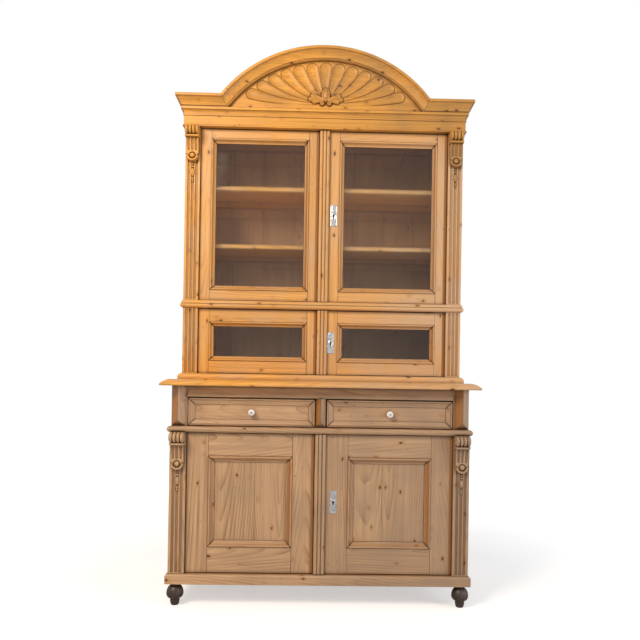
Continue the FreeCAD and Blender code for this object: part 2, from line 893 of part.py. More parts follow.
def door_frame(tier, meeting_edge, groove, key_hole):
    """Stiles and rails, joined by tenons, of a leaf whose hinge edge is on the right."""
    thickness = (tier.front, tier.back)
    height = (tier.low, tier.high)
    x0, x1 = tier.opening_x
    z0, z1 = tier.opening_z
    tenon_x = (x0 - d.tenon_length, x1 + d.tenon_length)
    tenon_front = tier.front + d.tenon_face
    tenon_y = (tenon_front, tenon_front + d.tenon_thickness)
    lower_tenon = box(tenon_x, tenon_y, (tier.low + d.tenon_outer_shoulder, z0 - d.tenon_inner_shoulder))
    upper_tenon = box(tenon_x, tenon_y, (z1 + d.tenon_inner_shoulder, tier.high - d.tenon_outer_shoulder))
    lower = box(tier.opening_x, thickness, (tier.low, z0))
    upper = box(tier.opening_x, thickness, (z1, tier.high))
    outer = box((x1, tier.edge), thickness, height)
    meeting = box((meeting_edge, x0), thickness, height)
    grooves = [groove] if groove else []
    holes = [key_hole] if key_hole else []
    return [
        fuse(cut(lower, groove) if groove else lower, lower_tenon),
        fuse(cut(upper, groove) if groove else upper, upper_tenon),
        cut(outer, lower_tenon, upper_tenon, *grooves, *pivot_bores(tier)),
        cut(meeting, lower_tenon, upper_tenon, *grooves, *holes),
    ]


def grown(limits, margin):
    return (limits[0] - margin, limits[1] + margin)


def bead_and_slope(width, bead, depth):
    """A moulding with a round bead on its outer edge and a hollow slope to the inner one."""
    return [
        corner(0, 0),
        corner(width, 0),
        corner(width, d.moulding_foot),
        arc(bead * 2, depth, convex=False, centre_u=width),
        arc(0, depth, centre_v=depth),
    ]


def panel_leaf(tier, meeting_edge, key_hole):
    face = tier.front + d.panel_depth
    layer = (face, face + d.panel_thickness)
    groove = box(grown(tier.opening_x, d.panel_groove), layer, grown(tier.opening_z, d.panel_groove))
    seat = d.panel_groove - d.panel_clearance
    panel = box(grown(tier.opening_x, seat), layer, grown(tier.opening_z, seat))
    width = d.panel_moulding_width
    outline = bead_and_slope(width, d.panel_moulding_bead, d.panel_depth)
    trim = framed(outline, width, tier.opening_x, tier.opening_z, face)
    return group(*door_frame(tier, meeting_edge, groove, key_hole), *trim), panel


def glazed_leaf(tier, meeting_edge, key_hole):
    face = tier.front + d.glass_depth
    glass_back = face + d.glass_thickness
    pane = box(grown(tier.opening_x, -d.glass_clearance), (face, glass_back),
               grown(tier.opening_z, -d.glass_clearance))
    width = d.glass_moulding_width
    outline = bead_and_slope(width, d.glass_moulding_bead, d.glass_depth)
    trim = framed(outline, width, tier.opening_x, tier.opening_z, face)
    layer = (glass_back, tier.back)
    x0, x1 = tier.opening_x
    z0, z1 = tier.opening_z
    wide = d.glazing_bead_width
    upright = (z0 + wide, z1 - wide)
    beads = [
        box(tier.opening_x, layer, (z0, z0 + wide)),
        box(tier.opening_x, layer, (z1 - wide, z1)),
        box((x0, x0 + wide), layer, upright),
        box((x1 - wide, x1), layer, upright),
    ]
    return group(*door_frame(tier, meeting_edge, None, key_hole), *trim, *beads), pane


def make_astragal(tier):
    """The reeded strip on the right leaf that covers the joint between the leaves."""
    width = d.astragal_width
    edge = d.astragal_thickness - d.astragal_reed_bulge
    reed = width / REEDS
    centre = d.astragal_thickness - bulge_radius(reed, d.astragal_reed_bulge)
    outline = [corner(0, 0), corner(width, 0), corner(width, edge)]
    for index in range(1, REEDS):
        outline.append(arc(width - reed * index, edge, centre_v=centre))
    outline.append(arc(0, edge, centre_v=centre))
    strip = pad(new_body(), "XY_Plane", [outline], tier.high - tier.low)
    node(f"{tier.name}_astragal", place(strip, width / 2, tier.front, tier.low, FACING_FRONT))


def key_opening(tier, front, depth):
    """A keyhole: a round eye with a slot below it."""
    slot = d.key_slot_width / 2
    eye = round_bar(d.key_hole_radius, depth, tier.key_x, front + depth, tier.key_z, STANDING_IN_FRAME)
    return fuse(eye, box((tier.key_x - slot, tier.key_x + slot), (front, front + depth),
                         (tier.key_z - d.key_slot_length, tier.key_z)))


def make_lock(tier):
    """Key plate, lock case and bolt of the right leaf. The bolt is drawn back at rest."""
    wide = d.key_plate_width
    high = d.key_plate_height
    bevel = d.key_plate_bevel
    plate = wedge(wide, d.key_plate_thickness, high, (bevel, wide - bevel), (bevel, high - bevel))
    place(plate, tier.key_x + wide / 2, tier.front, tier.key_z - high / 2, FACING_FRONT)
    opening = key_opening(tier, tier.front - d.key_plate_thickness, d.key_plate_thickness)
    node(f"{tier.name}_key_plate", cut(plate, opening))

    edge = d.lock_edge_inset - d.astragal_width / 2
    case_x = (edge, tier.key_x + d.lock_reach)
    bolt_front = tier.back + d.bolt_setback
    bolt_y = (bolt_front, bolt_front + d.bolt_thickness)
    bolt_z = (tier.key_z - d.bolt_height / 2, tier.key_z + d.bolt_height / 2)
    bolt_x = (edge, edge + d.bolt_length)
    case = box(case_x, (tier.back, tier.back + d.lock_depth),
               (tier.key_z - d.lock_height / 2, tier.key_z + d.lock_height / 2))
    channel = box(bolt_x, grown(bolt_y, d.bolt_clearance), grown(bolt_z, d.bolt_clearance))
    node(f"{tier.name}_lock_case", cut(case, channel))
    node(f"{tier.name}_lock_bolt", box((edge, edge + d.bolt_length - d.bolt_clearance), bolt_y, bolt_z))


def pivot_plates(tier):
    """The plates with pins that carry one right-hand leaf at its foot and head."""
    plate_x = (tier.axis_x - d.plate_reach_in, tier.axis_x + d.plate_reach_out)
    plate_front = tier.front + d.plate_front_inset
    plate_y = (plate_front, plate_front + d.plate_depth)
    reach = d.plate_thickness + d.pin_length
    return [
        fuse(box(plate_x, plate_y, (tier.bottom, tier.bottom + d.plate_thickness)),
             round_bar(d.pin_radius, reach, tier.axis_x, tier.axis_y, tier.bottom)),
        fuse(box(plate_x, plate_y, (tier.top - d.plate_thickness, tier.top)),
             round_bar(d.pin_radius, reach, tier.axis_x, tier.axis_y, tier.top - reach)),
    ]


def make_doors():
    base = door_tier("base", base_doors_bottom, d.base_door_space, base_front, base_post_inner,
                     d.base_outer_stile, d.base_opening_inner, (d.base_bottom_rail, d.base_top_rail),
                     (d.base_key_place, d.base_key_rise))
    small = door_tier("small", small_doors_bottom, d.small_door_space, hutch_front, hutch_post_inner,
                      d.glazed_outer_stile, d.glazed_opening_inner, (d.small_bottom_rail, d.small_top_rail),
                      (d.small_key_place, d.small_key_rise))
    tall = door_tier("tall", tall_doors_bottom, d.tall_door_space, hutch_front, hutch_post_inner,
                     d.glazed_outer_stile, d.glazed_opening_inner, (d.tall_bottom_rail, d.tall_top_rail),
                     (d.tall_key_place, d.tall_key_rise))
    right_edge = -d.astragal_width / 2
    left_edge = d.astragal_width / 2 + d.meeting_gap
    plates = []
    for tier, leaf, filling in ((base, panel_leaf, "panel"), (small, glazed_leaf, "glass"),
                                (tall, glazed_leaf, "glass")):
        key_hole = key_opening(tier, tier.front, d.door_thickness)
        frame, infill = leaf(tier, right_edge, key_hole)
        node(f"{tier.name}_right_door_frame", frame)
        node(f"{tier.name}_right_door_{filling}", infill)
        frame, infill = leaf(tier, left_edge, None)
        node(f"{tier.name}_left_door_frame", mirrored(frame))
        node(f"{tier.name}_left_door_{filling}", mirrored(infill))
        make_astragal(tier)
        make_lock(tier)
        plates.extend(both_sides(*pivot_plates(tier)))
    node("pivot_plates", *plates)


def make_hutch_carcass():
    across = (-hutch_half, hutch_half)
    inside = (-hutch_inner, hutch_inner)
    frame_depth = (hutch_front, hutch_frame_back)
    board_depth = (hutch_frame_back, boards_front)
    side = box((hutch_inner, hutch_half), (hutch_frame_back, back), (counter_top, hutch_side_top))
    node("hutch_sides", *both_sides(side))

    stop_x = (-d.stop_width / 2, d.stop_width / 2)
    stop_front = hutch_frame_back + d.stop_clearance
    stop_y = (stop_front, stop_front + d.stop_depth)
    for name, low, high in (("hutch_floor", counter_top, small_doors_bottom),
                            ("hutch_deck", deck_bottom, tall_doors_bottom)):
        node(name, box(inside, board_depth, (high - d.floor_thickness, high)),
             box(across, frame_depth, (low, high)),
             box(stop_x, stop_y, (high, high + d.stop_height)))
    node("hutch_top", box(inside, board_depth, (bed_bottom - d.floor_thickness, bed_bottom)))
    node("hutch_back_boards", *planks(hutch_inner, counter_top, bed_bottom))

    shelf_front = hutch_front + d.hutch_shelf_setback
    shelves = []
    for rise in (d.lower_shelf_rise, d.upper_shelf_rise):
        shelves.extend(shelf(hutch_inner, shelf_front, tall_doors_bottom + rise))
    node("hutch_shelves", *shelves)

    reach = d.hutch_foot_projection
    foot = [
        corner(0, 0),
        corner(reach, 0),
        corner(reach, d.hutch_foot_fillet),
        arc(d.hutch_foot_edge, d.hutch_foot_height, centre_v=d.hutch_foot_fillet),
        corner(0, d.hutch_foot_height),
    ]
    node("hutch_foot_moulding", *three_sided(foot, reach, hutch_half, hutch_front, counter_top))
    edge = d.hutch_waist_edge
    nose = d.hutch_waist_nose
    waist_width = edge + d.hutch_waist_bulge
    waist = [
        corner(0, 0),
        corner(edge, 0),
        arc(edge, nose, centre_u=waist_width - bulge_radius(nose, d.hutch_waist_bulge)),
        corner(edge + d.hutch_waist_step, nose),
        arc(edge, d.deck_rail_height, centre_v=nose),
        corner(0, d.deck_rail_height),
    ]
    node("hutch_waist_moulding", *three_sided(waist, waist_width, hutch_half, hutch_front, deck_bottom))

    post_x = (hutch_post_inner, hutch_half)
    low_post = fluted_post(post_x, hutch_front, (small_doors_bottom, deck_bottom), deck_bottom)
    flutes_top = frieze_bottom - d.corbel_height + d.flute_under_corbel
    high_post = fluted_post(post_x, hutch_front, (tall_doors_bottom, frieze_bottom), flutes_top)
    node("hutch_posts", *both_sides(low_post, high_post))


def corbel(middle, front, top):
    """A scroll bracket: a reeded roll, a fillet, a hollow neck, a roundel and a drop of husks."""
    roll = d.corbel_roll_radius
    roll_out = d.corbel_projection - roll
    height = d.corbel_height
    roll_low = height - roll * 2
    fillet_low = roll_low - d.corbel_fillet_height
    section = [
        corner(0, 0),
        corner(d.corbel_neck / 2, 0),
        corner(d.corbel_neck, d.corbel_neck / 2),
        corner(d.corbel_neck, d.corbel_neck_rise),
        arc(roll_out, fillet_low, convex=False, centre_v=d.corbel_neck_rise),
        corner(d.corbel_fillet_projection, fillet_low),
        corner(d.corbel_fillet_projection, roll_low),
        corner(roll_out, roll_low),
        corner(roll_out, height),
        corner(0, height),
    ]
    bottom = top - height
    half = d.corbel_width / 2
    solid = place(pad(new_body(), "YZ_Plane", [section], d.corbel_width, symmetric=True),
                  middle, front, bottom, FACING_FRONT)
    face_view = fuse(
        box((middle - half, middle + half), (front - d.corbel_projection, front), (bottom + half, top)),
        round_bar(half, d.corbel_projection, middle, front, bottom + half, STANDING_IN_FRAME),
    )
    reeded_roll = turned(roll_outline(), "XZ_Plane", "H_Axis")
    place(reeded_roll, middle - half, front - roll_out, top - roll)
    neck_face = front - d.corbel_neck
    roundel = round_bar(d.roundel_radius, d.roundel_height, middle, neck_face, bottom + half,
                        STANDING_IN_FRAME)
    boss = new_part("Cone", Radius1=d.boss_radius, Radius2=d.boss_radius / 2, Height=d.boss_height)
    place(boss, middle, neck_face - d.roundel_height, bottom + half, STANDING_IN_FRAME)
    return fuse(common(solid, face_view), reeded_roll, roundel, boss, husk_drop(middle, front, bottom))


def roll_outline():
    """Half the section of the roll: reeds parted by narrow V grooves."""
    width = d.corbel_width
    radius = d.corbel_roll_radius
    reed = width / ROLL_REEDS
    gap = d.corbel_reed_gap / 2
    outline = [corner(0, 0), corner(width, 0), corner(width, radius)]
    for index in range(ROLL_REEDS - 1, 0, -1):
        outline.append(corner(reed * index + gap, radius))
        outline.append(corner(reed * index, radius - d.corbel_reed_depth))
        outline.append(corner(reed * index - gap, radius))
    outline.append(corner(0, radius))
    return outline


def husk_drop(middle, front, bottom):
    """Three husks, each smaller than the one above, lying on the post below the bracket."""
    husks = []
    step = d.husk_length - d.husk_overlap
    for index in range(HUSKS):
        top_radius = d.husk_radius - d.husk_taper * index
        husk = new_part("Cone", Radius1=d.husk_tip_radius, Radius2=top_radius, Height=d.husk_length)
        husks.append(place(husk, middle, front, bottom - d.husk_length + d.husk_overlap - step * index))
    reach = d.husk_length * HUSKS
    front_half = box((middle - d.husk_radius, middle + d.husk_radius), (front - d.husk_radius, front),
                     (bottom - reach, bottom + d.husk_overlap))
    return common(fuse(*husks), front_half)


def make_corbels():
    base_middle = (base_post_inner + base_half) / 2
    hutch_middle = (hutch_post_inner + hutch_half) / 2
    node("base_corbels", *both_sides(corbel(base_middle, base_front, drawer_rail_bottom)))
    node("hutch_corbels", *both_sides(corbel(hutch_middle, hutch_front, frieze_bottom)))


def crown_outline(rise):
    """The crown section: a small bead, a hollow and a top fillet, from rise upwards."""
    hollow_low = rise + d.crown_bead_height
    hollow_high = rise + d.crown_height - d.crown_fillet_height
    foot = d.bed_top_projection
    brow = d.crown_projection - d.crown_fillet_projection
    return [
        corner(0, rise),
        corner(foot, rise),
        corner(foot, hollow_low),
        corner(foot + d.crown_bead_projection, hollow_low),
        arc(brow, hollow_high, convex=False, centre_u=d.crown_projection + d.crown_cove_centre),
        corner(d.crown_projection, hollow_high),
        corner(d.crown_projection, rise + d.crown_height),
        corner(0, rise + d.crown_height),
    ]


def make_cornice():
    frieze_reach = d.frieze_projection + d.frieze_bead_projection
    frieze = [
        corner(0, 0),
        corner(frieze_reach, 0),
        corner(frieze_reach, d.frieze_bead_height / 2),
        arc(d.frieze_projection, d.frieze_bead_height, convex=False, centre_v=d.frieze_bead_height),
        corner(d.frieze_projection, d.frieze_height),
        corner(0, d.frieze_height),
    ]
    rail = box((-hutch_half, hutch_half), (hutch_front, hutch_frame_back), (frieze_bottom, bed_bottom))
    node("frieze", rail, *three_sided(frieze, frieze_reach, hutch_half, hutch_front, frieze_bottom))

    bed_foot = d.frieze_projection + d.bed_foot_projection
    bed_reach = d.bed_top_projection + d.bed_fillet_projection
    hollow_high = d.bed_height - d.bed_fillet_height
    bed = [
        corner(0, 0),
        corner(bed_foot, 0),
        corner(bed_foot, d.bed_foot_height),
        corner(d.frieze_projection, d.bed_foot_height),
        arc(d.bed_top_projection, hollow_high, convex=False, centre_u=d.bed_top_projection + d.bed_cove_centre),
        corner(bed_reach, hollow_high),
        corner(bed_reach, d.bed_height),
        corner(0, d.bed_height),
    ]
    bed_lengths = three_sided(bed, bed_reach, hutch_half, hutch_front, bed_bottom)

    reach = d.crown_projection
    outline = crown_outline(as_size(0))
    side = place(moulding(outline, reach, back - hutch_front + reach, None, "outer"),
                 hutch_half, back, crown_bottom, FACING_RIGHT)
    end_x = hutch_half + reach
    foot_run = end_x - spring_foot
    head_run = end_x - spring_head
    front = moulding(outline, reach, foot_run, "outer", None)
    slope = [corner(foot_run, 0), corner(foot_run, d.crown_height), corner(head_run, d.crown_height)]
    pocket_through(front, "XZ_Plane", [slope], reach * CUT_THROUGH)
    place(front, end_x, hutch_front, crown_bottom, FACING_FRONT)
    node("cornice_moulding", *bed_lengths, *both_sides(side, front))


# The arch of the crest: its centre, and where its crown meets the straight crown in a mitre
arch_centre = crown_top + d.crest_rise - d.crest_radius
arch_inner = d.crest_radius - d.crown_height
spring_head = root(d.crest_radius * d.crest_radius - (crown_top - arch_centre) * (crown_top - arch_centre))
spring_foot = root(arch_inner * arch_inner - (crown_bottom - arch_centre) * (crown_bottom - arch_centre))


def make_crest_arch():
    """The crown moulding bent over the crest, cut on the two mitres at its springing."""
    ring = turned(crown_outline(arch_inner), "YZ_Plane", "H_Axis")
    place(ring, 0, hutch_front, arch_centre, FACING_FRONT)
    top = crown_top + d.crest_radius
    spread = spring_foot + (spring_head - spring_foot) * (top - crown_bottom) / d.crown_height
    above = [
        corner(-spring_foot, crown_bottom),
        corner(spring_foot, crown_bottom),
        corner(spread, top),
        corner(-spread, top),
    ]
    keep = place(pad(new_body(), "XZ_Plane", [above], d.crown_projection * 2),
                 0, hutch_front + d.crown_projection / 2, 0)
    node("crest_arch_moulding", common(ring, keep))


def shell_scoops():
    """Cutters for the rays of the shell: hollows that widen from the hub to round tips below the arch."""
    hub = FreeCAD.Vector(0, hutch_front.value, (crown_bottom + d.shell_hub_rise).value)
    tip_circle = (arch_inner - d.shell_margin - d.shell_tip_radius).value
    step = math.radians(SHELL_STEP_DEGREES)
    scoops = []
    for index in range(-SHELL_RAYS_EACH_SIDE, SHELL_RAYS_EACH_SIDE + 1):
        x = tip_circle * math.sin(step * index)
        z = arch_centre.value + tip_circle * math.cos(step * index)
        half_width = d.shell_tip_radius - d.shell_tip_taper * abs(index)
        scoops.append(scoop(hub, FreeCAD.Vector(x, hub.y, z), half_width.value))
    return scoops


def scoop(hub, tip, half_width):
    """A cone from the hub that runs into a ball at the tip, sunk by the carving depth."""
    depth = d.shell_depth.value
    ball_radius = (half_width ** 2 + depth ** 2) / (2 * depth)
    centre = FreeCAD.Vector(tip.x, tip.y - ball_radius + depth, tip.z)
    axis = centre - hub
    reach = axis.Length
    axis.normalize()
    flare = math.asin(ball_radius / reach)
    sideways = axis.cross(Y_DIRECTION)
    sideways.normalize()
    touch = hub + axis * (reach * math.cos(flare) ** 2) + sideways * (ball_radius * math.cos(flare))
    end = centre + axis * ball_radius
    turn = (math.pi / 2 - flare) / 2 + flare
    middle = centre + (axis * math.sin(turn - flare) + sideways * math.cos(turn - flare)) * ball_radius
    outline = Part.Wire([
        Part.LineSegment(hub, touch).toShape(),
        Part.Arc(touch, middle, end).toShape(),
        Part.LineSegment(end, hub).toShape(),
    ])
    return Part.Face(outline).revolve(hub, axis, 360)


def palmette():
    """The carved foot of the shell: a bud, a leaf to each side and two volutes below."""
    foot = crown_bottom + d.shell_hub_rise
    level = foot + d.palmette_rise
    axis_y = hutch_front + d.palmette_sink
    radii = {"Radius1": d.palmette_radius, "Radius2": d.palmette_tip_radius}
    bud = place(new_part("Cone", Height=d.palmette_bud_height, **radii), 0, axis_y, level)
    leaf = place(new_part("Cone", Height=d.palmette_reach, **radii), 0, axis_y, level, LYING_RIGHT)
    face = box((-d.palmette_reach, d.palmette_reach), (hutch_front - d.palmette_radius, axis_y),
               (level - d.palmette_radius, level + d.palmette_bud_height))
    volute = round_bar(d.volute_radius, d.volute_height + d.palmette_sink, d.volute_spread, axis_y,
                       foot + d.volute_rise, STANDING_IN_FRAME)
    return [common(fuse(bud, *both_sides(leaf)), face), *both_sides(volute)]


def make_crest_board():
    """The board behind the arch, with the shell carved into its face."""
    radius = d.crest_radius - d.crest_board_setdown
    shoulder = crown_top - d.crest_board_setdown
    chord = root(radius * radius - (shoulder - arch_centre) * (shoulder - arch_centre))
    outline = [
        corner(-hutch_half, bed_bottom),
        corner(hutch_half, bed_bottom),
        corner(hutch_half, shoulder),
        corner(chord, shoulder),
        arc(-chord, shoulder, centre_v=arch_centre),
        corner(-hutch_half, shoulder),
    ]
    blank = place(pad(new_body(), "XZ_Plane", [outline], d.crest_board_thickness),
                  0, hutch_front + d.crest_board_thickness, 0)
    DOC.recompute()
    carved = DOC.addObject("Part::Feature", "CarvedBoard")
    half = spring_foot.value
    reach = d.crest_board_thickness.value * CUT_THROUGH
    field = Part.makeBox(half * 2, reach, d.crest_radius.value,
                         FreeCAD.Vector(-half, hutch_front.value - reach / 2, crown_bottom.value))
    carved.Shape = blank.Shape.cut([hollow.common(field) for hollow in shell_scoops()])
    node("crest_board", fuse(carved, *palmette()))


def check_and_write():
    """Stop on any failed object or bad solid, then write one file for each sub-part."""
    DOC.recompute()
    for item in DOC.Objects:
        if "Invalid" in item.State or "Error" in item.State:
            raise RuntimeError(f"{item.Name} ({item.Label}) failed: {item.State}")
    for item in NODES:
        if item.Shape.isNull() or not item.Shape.isValid() or not item.Shape.Solids:
            raise RuntimeError(f"{item.Label} has no valid shape")
    os.makedirs("parts", exist_ok=True)
    for item in NODES:
        item.Shape.exportStep(f"parts/{item.Label}.step")
    print(f"{len(NODES)} sub-parts, {sum(len(item.Shape.Solids) for item in NODES)} solids")


make_feet()
make_base_carcass()
make_drawer_level()
make_countertop()
make_drawers()
make_doors()
make_hutch_carcass()
make_corbels()
make_cornice()
make_crest_arch()
make_crest_board()
check_and_write()
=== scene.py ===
"""Looks of the waxed pine kitchen dresser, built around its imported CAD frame."""

import json
import math
import random

import bmesh
import bpy
from bpy.props import FloatProperty, FloatVectorProperty, IntProperty, PointerProperty
from mathutils import Matrix, Vector


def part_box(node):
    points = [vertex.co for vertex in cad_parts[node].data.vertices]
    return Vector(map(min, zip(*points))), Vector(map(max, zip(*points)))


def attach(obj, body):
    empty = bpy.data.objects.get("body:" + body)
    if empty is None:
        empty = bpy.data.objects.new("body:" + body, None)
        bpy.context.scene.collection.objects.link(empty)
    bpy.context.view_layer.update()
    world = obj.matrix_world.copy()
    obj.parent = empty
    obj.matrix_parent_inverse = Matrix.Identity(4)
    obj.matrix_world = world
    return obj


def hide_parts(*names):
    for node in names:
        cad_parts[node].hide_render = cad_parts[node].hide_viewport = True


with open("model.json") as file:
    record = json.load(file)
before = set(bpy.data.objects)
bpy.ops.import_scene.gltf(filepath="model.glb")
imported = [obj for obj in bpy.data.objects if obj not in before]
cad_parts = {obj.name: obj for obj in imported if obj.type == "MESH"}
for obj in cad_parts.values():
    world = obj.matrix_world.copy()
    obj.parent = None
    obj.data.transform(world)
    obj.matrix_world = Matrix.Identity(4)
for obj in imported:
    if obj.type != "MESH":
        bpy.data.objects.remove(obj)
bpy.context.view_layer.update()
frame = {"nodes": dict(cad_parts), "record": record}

bl_info = {
    "name": "Pine kitchen dresser",
    "version": (1, 0, 0),
    "blender": (4, 5, 0),
    "location": "View3D > Sidebar > Dresser",
    "description": "Dresses the CAD frame of a two-part pine kitchen dresser",
    "category": "Object",
}

MM = 0.001
WELD = 0.01 * MM
FLAT_ANGLE = math.radians(0.3)
ARRIS_ANGLE = math.radians(32)
SOFT_ANGLE = math.radians(24)

# Boards of the case, by the finish that they carry.
LOWER_NODES = (
    "plinth_moulding", "base_sides", "base_posts", "drawer_rail", "base_waist_moulding",
    "counter_rail", "prism_blocks",
)
UPPER_NODES = (
    "countertop", "hutch_sides", "hutch_posts", "hutch_foot_moulding", "hutch_waist_moulding",
    "hutch_shelves",
)
TOP_NODES = ("frieze", "cornice_moulding", "crest_arch_moulding")
INNER_NODES = (
    "base_floor", "base_back_boards", "base_shelf", "drawer_divider", "drawer_runners",
    "hutch_floor", "hutch_deck", "hutch_top", "hutch_back_boards",
)
SIDES = ("left", "right")
DOOR_TIERS = ("base", "small", "tall")
DOOR_FRAMES = [f"{tier}_{side}_door_frame" for tier in DOOR_TIERS for side in SIDES]
DOOR_PANELS = [f"base_{side}_door_panel" for side in SIDES]
GLASS_NODES = [f"{tier}_{side}_door_glass" for tier in ("small", "tall") for side in SIDES]
IRON_NODES = [f"{tier}_lock_{part}" for tier in DOOR_TIERS for part in ("case", "bolt")] + ["pivot_plates"]

NODE_BODY = {
    node: body
    for body, nodes in frame["record"]["behaviour"]["bodies"].items()
    for node in nodes
}

# Wide boards are glued up from two or three: the axis across, and the glue lines as shares of the width.
GLUE_LINES = {
    "base_left_door_panel": ("x", (0.55,)),
    "base_right_door_panel": ("x", (0.42,)),
    "base_sides": ("y", (0.31, 0.66)),
    "hutch_sides": ("y", (0.47,)),
    "countertop": ("y", (0.36, 0.7)),
}
# An orange-brown strip is painted over this much of each door's right edge.
RIGHT_EDGE_STRIP = 12 * MM
# How much of the dark wax is left along the arrises of the pieces that hands and cloths rub clean.
RUBBED = {
    "countertop": 0.15, "hutch_foot_moulding": 0.2, "hutch_waist_moulding": 0.5, "hutch_shelves": 0.1,
    "base_left_door_panel": 0.3, "base_right_door_panel": 0.3, "hutch_posts": 0.5, "base_posts": 0.5,
    "base_waist_moulding": 0.4, "plinth_moulding": 0.4, "tall_astragal": 0.5, "small_astragal": 0.5,
    "cornice_moulding": 0.4, "crest_arch_moulding": 0.5,
}
# How much old wax lies in the flutes of the posts, which start this far behind a post's face.
FLUTED = {"base_posts": 0.42, "hutch_posts": 0.28}
FLUTE_SKIN = 2.2 * MM
# How strong the painted shade, a darker orange-brown, is on the facets that face left, and on the other
# sloping ones.
SHADED_FACETS = {"prism_blocks": (1.0, 0.0), **{node: (0.9, 0.38) for node in DOOR_FRAMES}}
# Mitres that have opened a little, how far the dirt reaches from each, the least end that is one, and how
# nearly it stands square to the face and slants evenly.
MITRED = set(DOOR_FRAMES) | {f"{side}_drawer_front" for side in SIDES}
MITRE_DIRT = 2.4 * MM
MITRE_LEAST = 40 * MM * MM
MITRE_SQUARE = 0.05
MITRE_EVEN = 0.1
# A face looks to the front where its normal's y is below the first, or the second in a flute, and slopes
# where x or z is past the third.
FRONT = -0.2
FLUTE_FRONT = -0.3
SLOPING = 0.25
# How far a log's heart lies beside a board, in mm, and along it, in m; a board's tone, and its lean.
HEART_ASIDE = (25, 110)
HEART_ALONG = (-0.4, 0.4)
BOARD_TONE = (0.91, 1.07)
BOARD_LEAN = (0.03, 0.11)
AXES = {"x": Vector((1, 0, 0)), "y": Vector((0, 1, 0)), "z": Vector((0, 0, 1))}


def linear(code):
    """Linear colour of an sRGB hex value."""
    shares = [int(code[place:place + 2], 16) / 255 for place in (0, 2, 4)]
    return tuple(
        share / 12.92 if share <= 0.04045 else ((share + 0.055) / 1.055) ** 2.4 for share in shares
    )


def opaque(tone):
    """A colour with its alpha, as a colour socket takes it."""
    return (*tone, 1.0)


def feed(node, inputs):
    """Sets or links each input named of a shader node."""
    for place, value in inputs.items():
        if isinstance(value, bpy.types.NodeSocket):
            node.id_data.links.new(value, node.inputs[place])
        else:
            node.inputs[place].default_value = value


def add(tree, kind, inputs=None, out=0, **settings):
    """Adds one shader node with its settings, feeds it and gives one of its outputs."""
    made = tree.nodes.new("ShaderNode" + kind)
    for field, value in settings.items():
        setattr(made, field, value)
    feed(made, inputs or {})
    return made.outputs[out]


def blank(name):
    """A new material with its node tree, its one shader and the place on the piece."""
    material = bpy.data.materials.new(name)
    material.use_nodes = True
    tree = material.node_tree
    return material, tree, tree.nodes["Principled BSDF"], add(tree, "TexCoord", out="Object")


# The pines: what each is, and how strongly its ring lines show.
PINES = {
    "upper": ("waxed pine, honey", 0.7),
    "top": ("waxed pine, amber", 0.6),
    "lower": ("waxed pine, faded", 0.95),
    "inner": ("planed pine, unwaxed", 0.5),
}
# Noise drawn out along the grain, as repeats in a metre across it and along it. Broad streaks are 12 mm
# wide, and fine ones 2.5 mm where real fibre is finer, so that they show.
SLOW_DRIFT = (9.0, 1.3)
BROAD_STREAK = (83.0, 2.2)
FINE_FIBRE = (400.0, 9.0)
# Knots: how much they are drawn out, the size and reach of their ragged edge, and where pin knots lie.
KNOT_DRAWN = 0.6
KNOT_RAGS = 12 * MM
KNOT_RAGGED = 7 * MM
PIN_SPACING = 38 * MM
# How far the rings waver, and how far they swell round a knot.
RING_WAVER = 24 * MM
RING_SWELL = 7 * MM
LATE_WOOD = 3.2
# Greyed patches; where across the dresser the painted side shade starts and is full, which turns the wood
# greyer towards the right as if lit from there; and how far the painted shade in nooks reaches.
PATCH = 180 * MM
SIDE_SHADE_STARTS = -0.35
SIDE_SHADE_FULL = 0.6
NOOK_SHADE_REACH = 16 * MM


